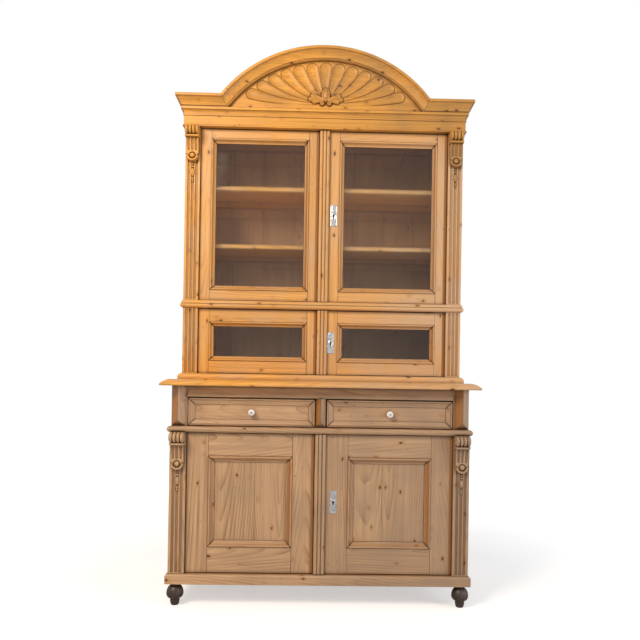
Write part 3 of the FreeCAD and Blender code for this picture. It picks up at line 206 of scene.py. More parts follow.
def pine_material(key, tones, sizes):
    """Pine, planed, stripped and waxed.

    Pale early wood lies between darker late-wood lines, which arch where the board was sawn flat. Small
    knots, long fibre streaks, greyed patches, orange-brown edge strips and old wax in the arrises break the
    colour up, and the wax gives a soft satin shine. Painted shade lies over it: greyer towards the right
    side, darker in nooks, and darker orange-brown on sloping facets, most where they face left.
    """
    name, figure = PINES[key]
    early = getattr(tones, key + "_early")
    late = getattr(tones, key + "_late")
    greyed_and_shaded = getattr(tones, key + "_greyed_and_shaded", late)
    material, tree, shader, place = blank(name)
    grain, heart, board = (
        add(tree, "Attribute", out="Vector", attribute_name=mark) for mark in ("grain", "heart", "board")
    )
    arris = add(tree, "Attribute", out="Fac", attribute_name="arris")
    # The board's own tone and lean, and its share of the edge strip and the painted facet shade.
    tone, lean, edge_strip_and_facet_shade = add(tree, "SeparateXYZ", {0: board}).node.outputs

    # The heart of the log runs beside the board: run is the way along it, across the way out from it.
    from_heart = add(tree, "VectorMath", {0: place, 1: heart}, operation="SUBTRACT")
    run = add(tree, "VectorMath", {0: from_heart, 1: grain}, "Value", operation="DOT_PRODUCT")
    along = add(tree, "VectorMath", {0: grain, "Scale": run}, operation="SCALE")
    across = add(tree, "VectorMath", {0: from_heart, 1: along}, operation="SUBTRACT")
    drawn = []
    for wide, long in (SLOW_DRIFT, BROAD_STREAK, FINE_FIBRE):
        far = add(tree, "VectorMath", {0: along, "Scale": long}, operation="SCALE")
        drawn.append(add(tree, "VectorMath", {0: across, 1: (wide,) * 3, 2: far}, operation="MULTIPLY_ADD"))
    slow, broad, fine = drawn
    waver = add(tree, "TexNoise", {"Vector": slow, "Scale": 1.0, "Detail": 2.0})
    streak = add(tree, "TexNoise", {"Vector": broad, "Scale": 1.0, "Detail": 3.0})
    fibre = add(tree, "TexNoise", {"Vector": fine, "Scale": 1.0, "Detail": 2.0})

    # Knots: ragged round ends of branches, longer along the grain, with smaller pin knots between them.
    far = add(tree, "VectorMath", {0: along, "Scale": KNOT_DRAWN}, operation="SCALE")
    spot = add(tree, "VectorMath", {0: across, 1: far}, operation="ADD")
    rags = add(tree, "TexNoise", {"Vector": spot, "Scale": 1 / KNOT_RAGS, "Detail": 2.0}, "Color")
    spot = add(tree, "VectorMath", {0: rags, 1: (KNOT_RAGGED,) * 3, 2: spot}, operation="MULTIPLY_ADD")
    knots = add(tree, "TexVoronoi", {"Vector": spot, "Scale": 1 / sizes.knot_spacing}, "Distance")
    size = sizes.knot_radius / sizes.knot_spacing
    knot, halo = (
        add(tree, "MapRange", {0: knots, 1: edge * size, 2: full * size}, interpolation_type="SMOOTHSTEP")
        for edge, full in ((1.0, 0.6), (2.6, 0.5))
    )
    pins = add(tree, "TexVoronoi", {"Vector": spot, "Scale": 1 / PIN_SPACING}, "Distance")
    size = sizes.pin_knot_radius / PIN_SPACING
    pin = add(tree, "MapRange", {0: pins, 1: size, 2: 0.4 * size, 4: 0.85})
    knot = add(tree, "Math", {0: knot, 1: pin}, operation="MAXIMUM")

    # Growth rings, drawn 10 mm wide where pine has 3 to 5 mm, so that they show. They swell at a knot.
    radius = add(tree, "VectorMath", {0: across}, "Value", operation="LENGTH")
    for share, most in ((run, lean), (waver, RING_WAVER), (halo, RING_SWELL)):
        radius = add(tree, "Math", {0: share, 1: most, 2: radius}, operation="MULTIPLY_ADD")
    ring = add(tree, "Math", {0: radius, 1: 1 / sizes.ring_width}, operation="MULTIPLY")
    ring = add(tree, "Math", {0: ring}, operation="FRACT")
    line = add(tree, "Math", {0: ring, 1: LATE_WOOD}, operation="POWER")
    clear = add(tree, "TexNoise", {"Vector": slow, "Scale": 2.3, "Detail": 1.0})
    clear = add(tree, "MapRange", {0: clear, 1: 0.4, 2: 0.62, 3: 0.2 * figure, 4: figure})
    depth = add(tree, "Math", {0: line, 1: clear}, operation="MULTIPLY")
    wood = add(tree, "Mix", {0: depth, 6: opaque(early), 7: opaque(late)}, 2, data_type="RGBA")
    shade = add(tree, "MapRange", {0: streak, 1: 0.3, 2: 0.7, 3: 0.78, 4: 1.11})
    speck = add(tree, "MapRange", {0: fibre, 1: 0.25, 2: 0.75, 3: 0.90, 4: 1.06})
    for factor in (speck, tone):
        shade = add(tree, "Math", {0: shade, 1: factor}, operation="MULTIPLY")
    wood = add(tree, "VectorMath", {0: wood, "Scale": shade}, operation="SCALE")

    # Daylight has greyed the wood in slow patches. Over that lies painted side shade: the wood turns greyer
    # towards its right side, as if lit cool from there.
    # Painted side shade: greyer towards the right, from the place across the dresser.
    side = add(tree, "SeparateXYZ", {0: place})
    side = add(tree, "MapRange", {0: side, 1: SIDE_SHADE_STARTS, 2: SIDE_SHADE_FULL, 4: 0.52})
    patch = add(tree, "TexNoise", {"Vector": place, "Scale": 1 / PATCH, "Detail": 2.0})
    patch = add(tree, "MapRange", {0: patch, 1: 0.4, 2: 0.65, 4: 0.3})
    greying_and_side_shade = add(tree, "Math", {0: side, 1: patch}, operation="ADD")

    # Over it lie stains round the knots, the knots, the orange-brown edge strips with painted shade on
    # sloping facets, wax on arrises, and painted shade in nooks where little light reaches.
    stain, strip_and_facet_share, grime = (
        add(tree, "Math", {0: mark, 1: most}, operation="MULTIPLY")
        for mark, most in ((halo, 0.45), (edge_strip_and_facet_shade, 0.86), (arris, 0.88))
    )
    # Painted shade: ambient occlusion darkens the wood towards old-wax brown in nooks and between parts.
    painted_nook_shade = add(tree, "AmbientOcclusion", {"Distance": NOOK_SHADE_REACH}, "AO", samples=6)
    painted_nook_shade = add(tree, "MapRange", {0: painted_nook_shade, 1: 0.95, 2: 0.35, 4: 0.84})
    coats = (
        (greying_and_side_shade, greyed_and_shaded), (stain, tones.old_varnish_and_facet_shade), (knot, tones.knot), (strip_and_facet_share, tones.old_varnish_and_facet_shade),
        (grime, tones.old_wax_and_nook_shade), (painted_nook_shade, tones.old_wax_and_nook_shade),
    )
    for share, coat in coats:
        wood = add(tree, "Mix", {0: share, 6: wood, 7: opaque(coat)}, 2, data_type="RGBA")

    rough = add(tree, "MapRange", {0: streak, 1: 0.3, 2: 0.7, 3: 0.40, 4: 0.56})
    ridge = add(tree, "Math", {0: line, 1: 0.5, 2: fibre}, operation="MULTIPLY_ADD")
    bump = add(tree, "Bump", {"Height": ridge, "Strength": 0.35, "Distance": 0.35 * MM})
    feed(shader, {"Base Color": wood, "Roughness": rough, "Normal": bump, "IOR": 1.5})
    return material


def stained_wood_material(tones):
    """Turned beech under dark stain and shellac: nearly black, rubbed through to brown in places."""
    material, tree, shader, place = blank("turned beech, dark stained")
    stretched = add(tree, "Mapping", {0: place, 3: (40.0, 40.0, 9.0)})
    figure = add(tree, "TexNoise", {"Vector": stretched, "Scale": 1.0, "Detail": 4.0})
    rubs = add(tree, "TexNoise", {"Vector": place, "Scale": 1 / (26 * MM), "Detail": 3.0})
    worn = add(tree, "MapRange", {0: rubs, 1: 0.58, 2: 0.72, 4: 0.8})
    deep = add(tree, "MapRange", {0: figure, 1: 0.3, 2: 0.7, 4: 0.35})
    tone = opaque(tones.dark_stain)
    for share in (deep, worn):
        tone = add(tree, "Mix", {0: share, 6: tone, 7: opaque(tones.rubbed_stain)}, 2, data_type="RGBA")
    rough = add(tree, "MapRange", {0: rubs, 1: 0.3, 2: 0.7, 3: 0.32, 4: 0.6})
    bump = add(tree, "Bump", {"Height": figure, "Strength": 0.3, "Distance": 0.4 * MM})
    feed(shader, {"Base Color": tone, "Roughness": rough, "Normal": bump, "IOR": 1.5})
    return material


def glass_material(tones):
    """Drawn window glass: clear, with a faint green cast, slow ripples and a few dull smears."""
    material, tree, shader, place = blank("drawn window glass")
    ripple = add(tree, "TexNoise", {"Vector": place, "Scale": 1 / (140 * MM), "Detail": 1.0})
    bump = add(tree, "Bump", {"Height": ripple, "Strength": 0.25, "Distance": 2 * MM})
    smear = add(tree, "TexNoise", {"Vector": place, "Scale": 1 / (45 * MM), "Detail": 4.0})
    rough = add(tree, "MapRange", {0: smear, 1: 0.4, 2: 0.75, 3: 0.02, 4: 0.10})
    feed(shader, {
        "Base Color": opaque(tones.glass), "Roughness": rough, "Normal": bump, "Transmission Weight": 1.0,
        "IOR": 1.52, "Alpha": 0.4,
    })
    return material


def nickel_material(tones):
    """Pressed brass under nickel plate: a soft warm-grey shine, dull and darker where it was not rubbed."""
    material, tree, shader, place = blank("pressed brass, nickel plated")
    cloud = add(tree, "TexNoise", {"Vector": place, "Scale": 1 / (9 * MM), "Detail": 5.0})
    dull = add(tree, "MapRange", {0: cloud, 1: 0.45, 2: 0.7, 4: 0.7})
    bright = opaque(tones.nickel)
    tone = add(tree, "Mix", {0: dull, 6: bright, 7: opaque(tones.tarnish)}, 2, data_type="RGBA")
    rough = add(tree, "MapRange", {0: cloud, 1: 0.3, 2: 0.7, 3: 0.24, 4: 0.46})
    pit = add(tree, "TexNoise", {"Vector": place, "Scale": 1 / (1.6 * MM), "Detail": 2.0})
    bump = add(tree, "Bump", {"Height": pit, "Strength": 0.2, "Distance": 0.15 * MM})
    feed(shader, {"Base Color": tone, "Roughness": rough, "Normal": bump, "Metallic": 1.0})
    return material


def porcelain_material(tones):
    """Glazed porcelain: nearly white, with a wet shine and a few fine hair cracks."""
    material, tree, shader, place = blank("glazed porcelain")
    cells = {"Vector": place, "Scale": 1 / (11 * MM)}
    crack = add(tree, "TexVoronoi", cells, "Distance", feature="DISTANCE_TO_EDGE")
    seen = add(tree, "MapRange", {0: crack, 1: 0.0, 2: 0.035, 3: 0.35, 4: 0.0})
    glaze = opaque(tones.porcelain)
    tone = add(tree, "Mix", {0: seen, 6: glaze, 7: opaque(tones.crack)}, 2, data_type="RGBA")
    flow = add(tree, "TexNoise", {"Vector": place, "Scale": 1 / (14 * MM), "Detail": 1.0})
    rough = add(tree, "MapRange", {0: flow, 1: 0.3, 2: 0.7, 3: 0.07, 4: 0.16})
    bump = add(tree, "Bump", {"Height": flow, "Strength": 0.15, "Distance": 0.5 * MM})
    feed(shader, {"Base Color": tone, "Roughness": rough, "Normal": bump, "IOR": 1.54})
    return material


IRONS = {"iron": "forged iron", "screw": "turned steel screw"}


def iron_material(key, tones):
    """Forged or turned iron: dark grey with brown rust bloom and a rough, uneven shine."""
    material, tree, shader, place = blank(IRONS[key])
    bloom = add(tree, "TexNoise", {"Vector": place, "Scale": 1 / (7 * MM), "Detail": 5.0})
    share = add(tree, "MapRange", {0: bloom, 1: 0.5, 2: 0.68, 4: 0.75})
    bare = opaque(getattr(tones, key))
    tone = add(tree, "Mix", {0: share, 6: bare, 7: opaque(tones.rust)}, 2, data_type="RGBA")
    metal = add(tree, "MapRange", {0: share, 3: 1.0, 4: 0.2})
    rough = add(tree, "MapRange", {0: bloom, 1: 0.3, 2: 0.7, 3: 0.38, 4: 0.8})
    bump = add(tree, "Bump", {"Height": bloom, "Strength": 0.3, "Distance": 0.3 * MM})
    feed(shader, {"Base Color": tone, "Metallic": metal, "Roughness": rough, "Normal": bump})
    return material


FINISHES = {}
OTHER_MAKERS = {
    "stained": stained_wood_material,
    "glass": glass_material,
    "nickel": nickel_material,
    "porcelain": porcelain_material,
}


def material_for(key, context):
    """The finish of that key, made on first use."""
    tones = context.scene.dresser_tones
    if key not in FINISHES:
        if key in PINES:
            FINISHES[key] = pine_material(key, tones, context.scene.dresser_sizes)
        elif key in IRONS:
            FINISHES[key] = iron_material(key, tones)
        else:
            FINISHES[key] = OTHER_MAKERS[key](tones)
    return FINISHES[key]


def board_spans(mesh):
    """Face spans of a node's boards: a board ends where every edge so far has met its twin."""
    corners = [tuple(round(part, 6) for part in vertex.co) for vertex in mesh.vertices]
    waiting = set()
    first = 0
    spans = []
    for face in mesh.polygons:
        loop = [corners[index] for index in face.vertices]
        for edge in zip(loop, loop[1:] + loop[:1]):
            twin = (edge[1], edge[0])
            if twin in waiting:
                waiting.remove(twin)
            else:
                waiting.add(edge)
        if not waiting:
            spans.append((first, face.index + 1))
            first = face.index + 1
    return spans


def board_copy(whole, span):
    """One board of a node as a shape of its own, merged, with its flat faces in one piece each."""
    board = whole.copy()
    board.faces.ensure_lookup_table()
    others = [face for face in board.faces if not span[0] <= face.index < span[1]]
    bmesh.ops.delete(board, geom=others, context="FACES")
    bmesh.ops.remove_doubles(board, verts=board.verts[:], dist=WELD)
    bmesh.ops.dissolve_limit(board, angle_limit=FLAT_ANGLE, verts=board.verts[:], edges=board.edges[:])
    return board


def board_copies(node):
    """Every board of a CAD node as a shape of its own."""
    source = frame["nodes"][node].data
    whole = bmesh.new()
    whole.from_mesh(source)
    boards = [board_copy(whole, span) for span in board_spans(source)]
    whole.free()
    return boards


def reach(shape):
    """Lowest and highest corner of a shape."""
    places = [vertex.co for vertex in shape.verts]
    low = Vector([min(place[axis] for place in places) for axis in range(3)])
    high = Vector([max(place[axis] for place in places) for axis in range(3)])
    return low, high


def open_edges(shape):
    """Edges that have a face on one side only."""
    return [edge for edge in shape.edges if edge.is_boundary]


def move(shape, way):
    """Moves a whole shape."""
    bmesh.ops.translate(shape, vec=way, verts=shape.verts[:])


def saw(shape, place, way, **cleared):
    """Cuts a shape through along a plane."""
    whole = shape.verts[:] + shape.edges[:] + shape.faces[:]
    bmesh.ops.bisect_plane(shape, geom=whole, dist=WELD, plane_co=place, plane_no=way, **cleared)


def sawn_apart(board, axis, shares):
    """Cuts a wide board at its glue lines, and gives the closed strips."""
    low, high = reach(board)
    along = AXES[axis]
    bounds = [low.dot(along)] + [low.lerp(high, share).dot(along) for share in shares] + [high.dot(along)]
    strips = []
    for start, end in zip(bounds, bounds[1:]):
        strip = board.copy()
        for place, keeps_above in ((start, True), (end, False)):
            saw(strip, along * place, along, clear_inner=keeps_above, clear_outer=not keeps_above)
            rims = open_edges(strip)
            if rims:
                bmesh.ops.holes_fill(strip, edges=rims, sides=0)
        strips.append(strip)
    board.free()
    return strips


def wear(board, offset, wax):
    """Rounds a board's arrises a little and marks the wax on the rounded faces."""
    arris = board.faces.layers.float.new("arris")
    sharp = [
        edge for edge in board.edges
        if edge.is_manifold and edge.is_convex and edge.calc_face_angle() > ARRIS_ANGLE
    ]
    made = bmesh.ops.bevel(
        board, geom=sharp, offset=offset, offset_type="OFFSET", affect="EDGES", segments=2, profile=0.5,
        material=-1, clamp_overlap=True,
    )
    for face in made["faces"]:
        face[arris] = wax


def soften(shape):
    """Smooth shading over curves, with the real arrises kept sharp."""
    for face in shape.faces:
        face.smooth = True
    for edge in shape.edges:
        edge.smooth = edge.is_manifold and edge.calc_face_angle() < SOFT_ANGLE


def face_marks(shape, name):
    """The vectors of that name on a shape's faces, made where there are none yet."""
    marks = shape.faces.layers.float_vector
    return marks.get(name) or marks.new(name)


def mark_timber(shape, chance, way=None):
    """Writes on a board's faces the way of its grain, the log's heart, and its own tone and lean."""
    low, high = reach(shape)
    size = high - low
    way = way or max("xyz", key=lambda axis: size.dot(AXES[axis]))
    grain, heart, board = (face_marks(shape, name) for name in ("grain", "heart", "board"))
    angle = chance.uniform(0, 2 * math.pi)
    far = chance.uniform(*HEART_ASIDE) * MM
    aside = [AXES[axis] for axis in "xyz" if axis != way]
    centre = (low + high) / 2 + aside[0] * far * math.cos(angle) + aside[1] * far * math.sin(angle)
    centre += AXES[way] * chance.uniform(*HEART_ALONG)
    tone = chance.uniform(*BOARD_TONE)
    lean = chance.choice((-1, 1)) * chance.uniform(*BOARD_LEAN)
    for face in shape.faces:
        face[grain] = AXES[way]
        face[heart] = centre
        face[board] = Vector((tone, lean, face[board][2]))


def paint_edge_strip(shape, low_x, high_x):
    """Marks an orange-brown strip between two places across a door."""
    for place in (low_x, high_x):
        saw(shape, (place, 0, 0), AXES["x"])
    board = face_marks(shape, "board")
    for face in shape.faces:
        if low_x < face.calc_center_median().x < high_x:
            face[board] = Vector((1, 0, 1))


def paint_facet_shade(shape, left_share, other_share):
    """Paints shade on the sloping facets, a darker orange-brown that is strongest where they face left."""
    board = face_marks(shape, "board")
    for face in shape.faces:
        if face.normal.y < FRONT and max(abs(face.normal.x), abs(face.normal.z)) > SLOPING:
            share = left_share if face.normal.x < -SLOPING else other_share
            face[board] = Vector((1, 0, max(share, face[board][2])))


def open_mitres(strip):
    """Marks the dirt in the mitres of a moulding: a band on its face beside each slanting end."""
    arris = strip.faces.layers.float["arris"]
    ends = []
    for face in strip.faces:
        slant = abs(face.normal.y) < MITRE_SQUARE
        slant = slant and abs(abs(face.normal.x) - abs(face.normal.z)) < MITRE_EVEN
        if slant and face.calc_area() > MITRE_LEAST:
            ends.append((face.normal.copy(), face.calc_center_median() - face.normal * MITRE_DIRT))
    for way, place in ends:
        saw(strip, place, way)
        for face in strip.faces:
            if face.normal.y < FRONT and (face.calc_center_median() - place).dot(way) > 0:
                face[arris] = 1.0


def wax_flutes(shape, share):
    """Marks the old wax that lies in the flutes of a post's face."""
    arris = shape.faces.layers.float["arris"]
    skin = reach(shape)[0].y + FLUTE_SKIN
    for face in shape.faces:
        if face.normal.y < FLUTE_FRONT and face.calc_center_median().y > skin:
            face[arris] = share


def finish_piece(shape, name, node, key, context, slot=None):
    """Turns a shape into a piece that rides with a CAD node, and replaces it unless it has its own slot."""
    mesh = bpy.data.meshes.new(name)
    shape.to_mesh(mesh)
    shape.free()
    mesh.materials.append(material_for(key, context))
    piece = bpy.data.objects.new(name, mesh)
    context.scene.collection.objects.link(piece)
    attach(piece, NODE_BODY[node])
    if slot:
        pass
    else:
        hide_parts(node)
    return piece


def lay_boards(context, node, key, edge_strip_and_facet_shade=None):
    """A worn, grained copy of every board of a CAD node."""
    sizes = context.scene.dresser_sizes
    chance = random.Random(node)
    strips = []
    for board in board_copies(node):
        strips += sawn_apart(board, *GLUE_LINES[node]) if node in GLUE_LINES else [board]
    for strip in strips:
        wear(strip, sizes.worn_edge, RUBBED.get(node, 1.0))
        if node in MITRED:
            open_mitres(strip)
        if edge_strip_and_facet_shade:
            paint_edge_strip(strip, *edge_strip_and_facet_shade)
        if node in SHADED_FACETS:
            paint_facet_shade(strip, *SHADED_FACETS[node])
        if node in FLUTED:
            wax_flutes(strip, FLUTED[node])
        mark_timber(strip, chance, "z" if node in DOOR_PANELS else None)
        soften(strip)
    piece = finish_piece(join(strips), node + "_boards", node, key, context)
    weighted = piece.modifiers.new("even faces", "WEIGHTED_NORMAL")
    weighted.keep_sharp = True


def round_cone(x, z, start, end, first, last):
    """Signed distance, in mm, from a tapered stroke with round ends."""
    run_x = end[0] - start[0]
    run_z = end[1] - start[1]
    share = ((x - start[0]) * run_x + (z - start[1]) * run_z) / (run_x * run_x + run_z * run_z)
    share = min(1.0, max(0.0, share))
    gap = math.hypot(x - start[0] - share * run_x, z - start[1] - share * run_z)
    return gap - (first + (last - first) * share)


def clamp(share):
    """A share kept between nothing and all."""
    return max(0.0, min(1.0, share))


def crown(distance, half, height):
    """Height of a rounded form: nothing at its outline, full at half its width inside."""
    if distance >= 0:
        return 0.0
    share = min(1.0, -distance / half)
    return height * math.sqrt(share * (2 - share))


def bead(distance, width, height):
    """A rounded raised line along an outline."""
    return height * math.exp(-(distance / width) ** 2)


# A carving's points are dropped this share of a step outside its outline. Those past the other share inside
# it are drawn onto it, along the slope that is felt over this many mm.
DROPPED_OUTSIDE = 0.75
DRAWN_INSIDE = 0.4
FEEL = 0.05


def carve(low, high, step, height, outline, front, back):
    """A front-facing board, in mm, trimmed to an outline, with its face cut to a height over its front."""
    shape = bmesh.new()
    wide = high[0] - low[0]
    tall = high[1] - low[1]
    bmesh.ops.create_grid(shape, x_segments=round(wide / step), y_segments=round(tall / step), size=0.5)
    turn = Matrix.Rotation(math.pi / 2, 4, "X")
    bmesh.ops.transform(shape, matrix=turn @ Matrix.Diagonal((wide, tall, 1, 1)), verts=shape.verts[:])
    move(shape, ((low[0] + high[0]) / 2, 0, (low[1] + high[1]) / 2))
    far = DROPPED_OUTSIDE * step
    outside = [vertex for vertex in shape.verts if outline(vertex.co.x, vertex.co.z) > far]
    bmesh.ops.delete(shape, geom=outside, context="VERTS")
    for vertex in shape.verts:
        x, z = vertex.co.x, vertex.co.z
        over = outline(x, z)
        if over > -DRAWN_INSIDE * step:
            slope = Vector((
                outline(x + FEEL, z) - outline(x - FEEL, z), 0, outline(x, z + FEEL) - outline(x, z - FEEL),
            ))
            if slope.length > 0:
                vertex.co -= slope.normalized() * over
        vertex.co.y = front - height(vertex.co.x, vertex.co.z)
    walls = bmesh.ops.extrude_edge_only(shape, edges=open_edges(shape))
    for part in walls["geom"]:
        if isinstance(part, bmesh.types.BMVert):
            part.co.y = back
    bmesh.ops.triangle_fill(shape, edges=open_edges(shape), use_beauty=True, use_dissolve=True)
    bmesh.ops.remove_doubles(shape, verts=shape.verts[:], dist=WELD / MM)
    bmesh.ops.recalc_face_normals(shape, faces=shape.faces[:])
    return shape


def to_metres(shape):
    """Scales a shape drawn in mm."""
    bmesh.ops.scale(shape, vec=(MM, MM, MM), verts=shape.verts[:])


def join(shapes):
    """One shape of several, with none of their points merged."""
    merged = bmesh.new()
    for shape in shapes:
        held = bpy.data.meshes.new("held")
        shape.to_mesh(held)
        shape.free()
        merged.from_mesh(held)
        bpy.data.meshes.remove(held)
    return merged


# A cut in a carving is full of old wax where a point lies this far behind its neighbours.
CUT_DEPTH = {"crest_board": 1.7 * MM, "base_corbels": 0.6 * MM, "hutch_corbels": 0.7 * MM}


def wax_cuts(shape, full):
    """Marks the old wax in the cuts of a carving."""
    shape.normal_update()
    arris = shape.verts.layers.float.new("arris")
    for vertex in shape.verts:
        around = [edge.other_vert(vertex).co.y for edge in vertex.link_edges]
        sunk = vertex.co.y - sum(around) / len(around)
        if vertex.normal.y < FRONT:
            vertex[arris] = clamp(sunk / full)


def finish_carving(shape, node, way, key, context):
    """Gives a carving its old wax, its grain and its place."""
    to_metres(shape)
    wax_cuts(shape, CUT_DEPTH[node])
    mark_timber(shape, random.Random(node), way)
    soften(shape)
    finish_piece(shape, node + "_carved", node, key, context)


# The crest board's outline, in mm, and the field that its arch frames.
CREST_FRONT = -57.5
CREST_FOOT = 2013.0
CREST_HALF = 590.0
SHOULDER = 2089.0
ARCH_CENTRE = 1749.0
ARCH_BOARD_RADIUS = 553.0
FIELD_FOOT = 2046.0
# The shell's rays leave the hub and end on the circle of the tips, each a little narrower than the last.
HUB = 2079.0
TIP_CIRCLE = 505.0
FIELD_RADIUS = TIP_CIRCLE + 14.0
RAY_STEP = math.radians(6.8)
RAY_STEPS = 6
RAY_ROOT = 5.0
TIP_WIDTH = 25.5
TIP_LESS = 0.45
# The knee that bends a ray, as shares of the tip's place; each ray's knee is lower than the last one's.
KNEE_OUT = 0.62
KNEE_UP = 0.6
KNEE_LESS = 0.09
# The raised rim inside a ray's edge, and the hollow inside that.
RIM_INSIDE = 3.4
RIM_WIDTH = 2.3
RIM_RISE = 2.0
HOLLOW_INSIDE = 6.0
HOLLOW_SLOPE = 9.0
# The cut round each ray, and the share of it that is left at the hub, where the cuts run shallow.
CUT_OUTSIDE = 0.4
CUT_WIDTH = 1.6
RAY_CUT = 2.6
HUB_SHARE = 0.5
CUT_REACH = 280.0
# The lowest ray rises by the square of its distance from the hub over this length. Its lower cut runs out
# inwards.
LOW_BEND = 52.0
LOW_FADE = 15.0
CUT_STARTS = 120.0
CUT_FULL = 230.0
# The palmette: its leaf's rise and rounding, the vein in each lobe, and the lobes, each from one place to
# another, with its half width at both.
PALMETTE_TOP = 2156.0
LEAF_RISE = 9.0
LEAF_ROUND = 7.0
VEIN_WIDTH = 2.0
VEIN_DEEP = 2.2
LOBES = (
    ((14.0, 18.0), (54.0, 31.0), 7.0, 11.0),
    ((14.0, 15.0), (64.0, 17.0), 7.0, 10.0),
    ((14.0, 12.0), (50.0, 6.0), 6.0, 8.0),
)
# The petal and the core of its bud are round arcs that meet in a point: how far their centres lie past the
# middle and above the hub, and their radii. Two volutes lie below, and a trench runs round it all.
PETAL = (18.0, 36.0, 37.0)
CORE = (17.0, 37.0, 26.0)
PETAL_RISE = 9.6
CORE_RISE = 10.8
CORE_ROUND = 6.0
VOLUTE = (15.0, 1.0)
VOLUTE_RADIUS = 10.0
VOLUTE_RING = 7.0
VOLUTE_EYE = 3.0
VOLUTE_GROUND = 6.6
TRENCH = 1.8
TRENCH_DEEP = 2.2


def crest_outline(x, z):
    """Signed distance from the crest board's outline: square shoulders under a round top."""
    shoulders = max(abs(x) - CREST_HALF, z - SHOULDER)
    dome = math.hypot(x, z - ARCH_CENTRE) - ARCH_BOARD_RADIUS
    return max(min(shoulders, dome), CREST_FOOT - z)


def shell_rays(rays):
    """Half of the shell's rays: each a bent stroke, as points of its middle line and its widths there."""
    bent = []
    for count in range(rays + 1):
        width = TIP_WIDTH - TIP_LESS * count
        angle = count * RAY_STEP
        tip_x = (TIP_CIRCLE - width) * math.sin(angle)
        tip_z = ARCH_CENTRE + (TIP_CIRCLE - width) * math.cos(angle) - HUB
        knee_x = KNEE_OUT * tip_x
        knee_z = (KNEE_UP - KNEE_LESS * count) * tip_z
        line = []
        for step in range(RAY_STEPS + 1):
            share = step / RAY_STEPS
            early = 2 * share * (1 - share)
            late = share * share
            wide = RAY_ROOT + (width - RAY_ROOT) * share
            line.append((early * knee_x + late * tip_x, HUB + early * knee_z + late * tip_z, wide))
        bent.append(line)
    return bent


def ray_distance(x, z, line):
    """Signed distance from one bent ray."""
    return min(
        round_cone(x, z, start[:2], end[:2], start[2], end[2]) for start, end in zip(line, line[1:])
    )


def palmette_form(x, z):
    """Height of the palmette at the shell's hub, and the distance from its outline.

    A pointed bud stands between two scalloped leaves, over two volutes.
    """
    side = abs(x)
    rise = z - HUB
    height = 0.0
    nearest = FIELD_RADIUS
    for start, end, first, last in LOBES:
        gap = round_cone(side, rise, start, end, first, last)
        nearest = min(nearest, gap)
        vein = bead(gap + last - 1.0, VEIN_WIDTH, VEIN_DEEP)
        height = max(height, crown(gap, LEAF_ROUND, LEAF_RISE) - vein)
    petal, core = (math.hypot(side + past, rise - up) - radius for past, up, radius in (PETAL, CORE))
    height = max(height, crown(petal, LEAF_ROUND, PETAL_RISE) - bead(core - 1.0, 1.4, 2.6))
    height = max(height, crown(core, CORE_ROUND, CORE_RISE))
    curl = math.hypot(side - VOLUTE[0], rise - VOLUTE[1])
    ring = crown(abs(curl - VOLUTE_RING) - VOLUTE_EYE, VOLUTE_EYE, LEAF_RISE)
    eye = crown(curl - VOLUTE_EYE, VOLUTE_EYE, LEAF_RISE)
    height = max(height, ring, eye, crown(curl - VOLUTE_RING - 1.0, VOLUTE_EYE, VOLUTE_GROUND))
    return height, min(nearest, petal, curl - VOLUTE_RADIUS)


def crest_height(x, z, rays, depth):
    """Height of the crest's face: flat ground, hollow rays inside raised rims, and the palmette."""
    if math.hypot(x, z - ARCH_CENTRE) > FIELD_RADIUS or z < FIELD_FOOT:
        return 0.0
    gaps = sorted(ray_distance(abs(x), z, line) for line in rays)
    near = gaps[0] if gaps[0] > 0 else max(gaps[0], (gaps[0] - gaps[1]) / 2)
    cut = RAY_CUT * (HUB_SHARE + (1 - HUB_SHARE) * min(1.0, math.hypot(x, z - HUB) / CUT_REACH))
    ground = bead(near + RIM_INSIDE, RIM_WIDTH, RIM_RISE) - bead(near - CUT_OUTSIDE, CUT_WIDTH, cut)
    ground -= depth * clamp((-near - HOLLOW_INSIDE) / HOLLOW_SLOPE)
    under = HUB + (x / LOW_BEND) ** 2 - z
    if under > 0:
        kept = clamp((abs(x) - CUT_STARTS) / (CUT_FULL - CUT_STARTS))
        ground *= 1 - (1 - kept) * min(1.0, under / LOW_FADE)
    if z > PALMETTE_TOP:
        return ground
    leaf, gap = palmette_form(x, z)
    ground -= bead(gap - TRENCH, TRENCH, TRENCH_DEEP)
    return max(ground, leaf) if gap < 0 else ground


# A scroll bracket, in mm from the middle of its foot: reeded roll, fillet, fluted neck and roundel.
BRACKET_HALF = 29.0
BRACKET_HEIGHT = 150.0
ROLL_RADIUS = 21.0
ROLL_MIDDLE = 129.0
ROLL_FOOT = ROLL_MIDDLE - ROLL_RADIUS
ROLL_BACK = ROLL_RADIUS - 8.0
REEDS = 4
REED_CUT = 5.0
REED_CUT_LOW = 2.5
FILLET_LOW = 99.0
FILLET_OUT = 31.0
FILLET_ROUND = 2.5
NECK_HALF = 25.3
NECK_OUT = 14.0
NECK_RISE = 48.0
NECK_FLUTES = (-15.5, 0.0, 15.5)
FLUTE_FOOT = 49.0
FLUTE_TOP = 120.0
FLUTE_NARROW = 4.0
FLUTE_WIDE = 5.8
FLUTE_DEEP = 4.2
ROUNDEL = 12.0
ROUNDEL_RISE = 8.8
ROUNDEL_ROUND = 10.0
MOAT = 2.4
MOAT_DEEP = 4.6
CRESCENT = 19.6
CRESCENT_HALF = 4.4
CRESCENT_RISE = 5.2
CRESCENT_SUNK = 5.0
CRESCENT_HORNS = 108.0
CRESCENT_TAPER = 48.0
EYE_OUT = 25.0
EYE_UP = 29.0
EYE_RADIUS = 3.8
EYE_DEEP = 5.0
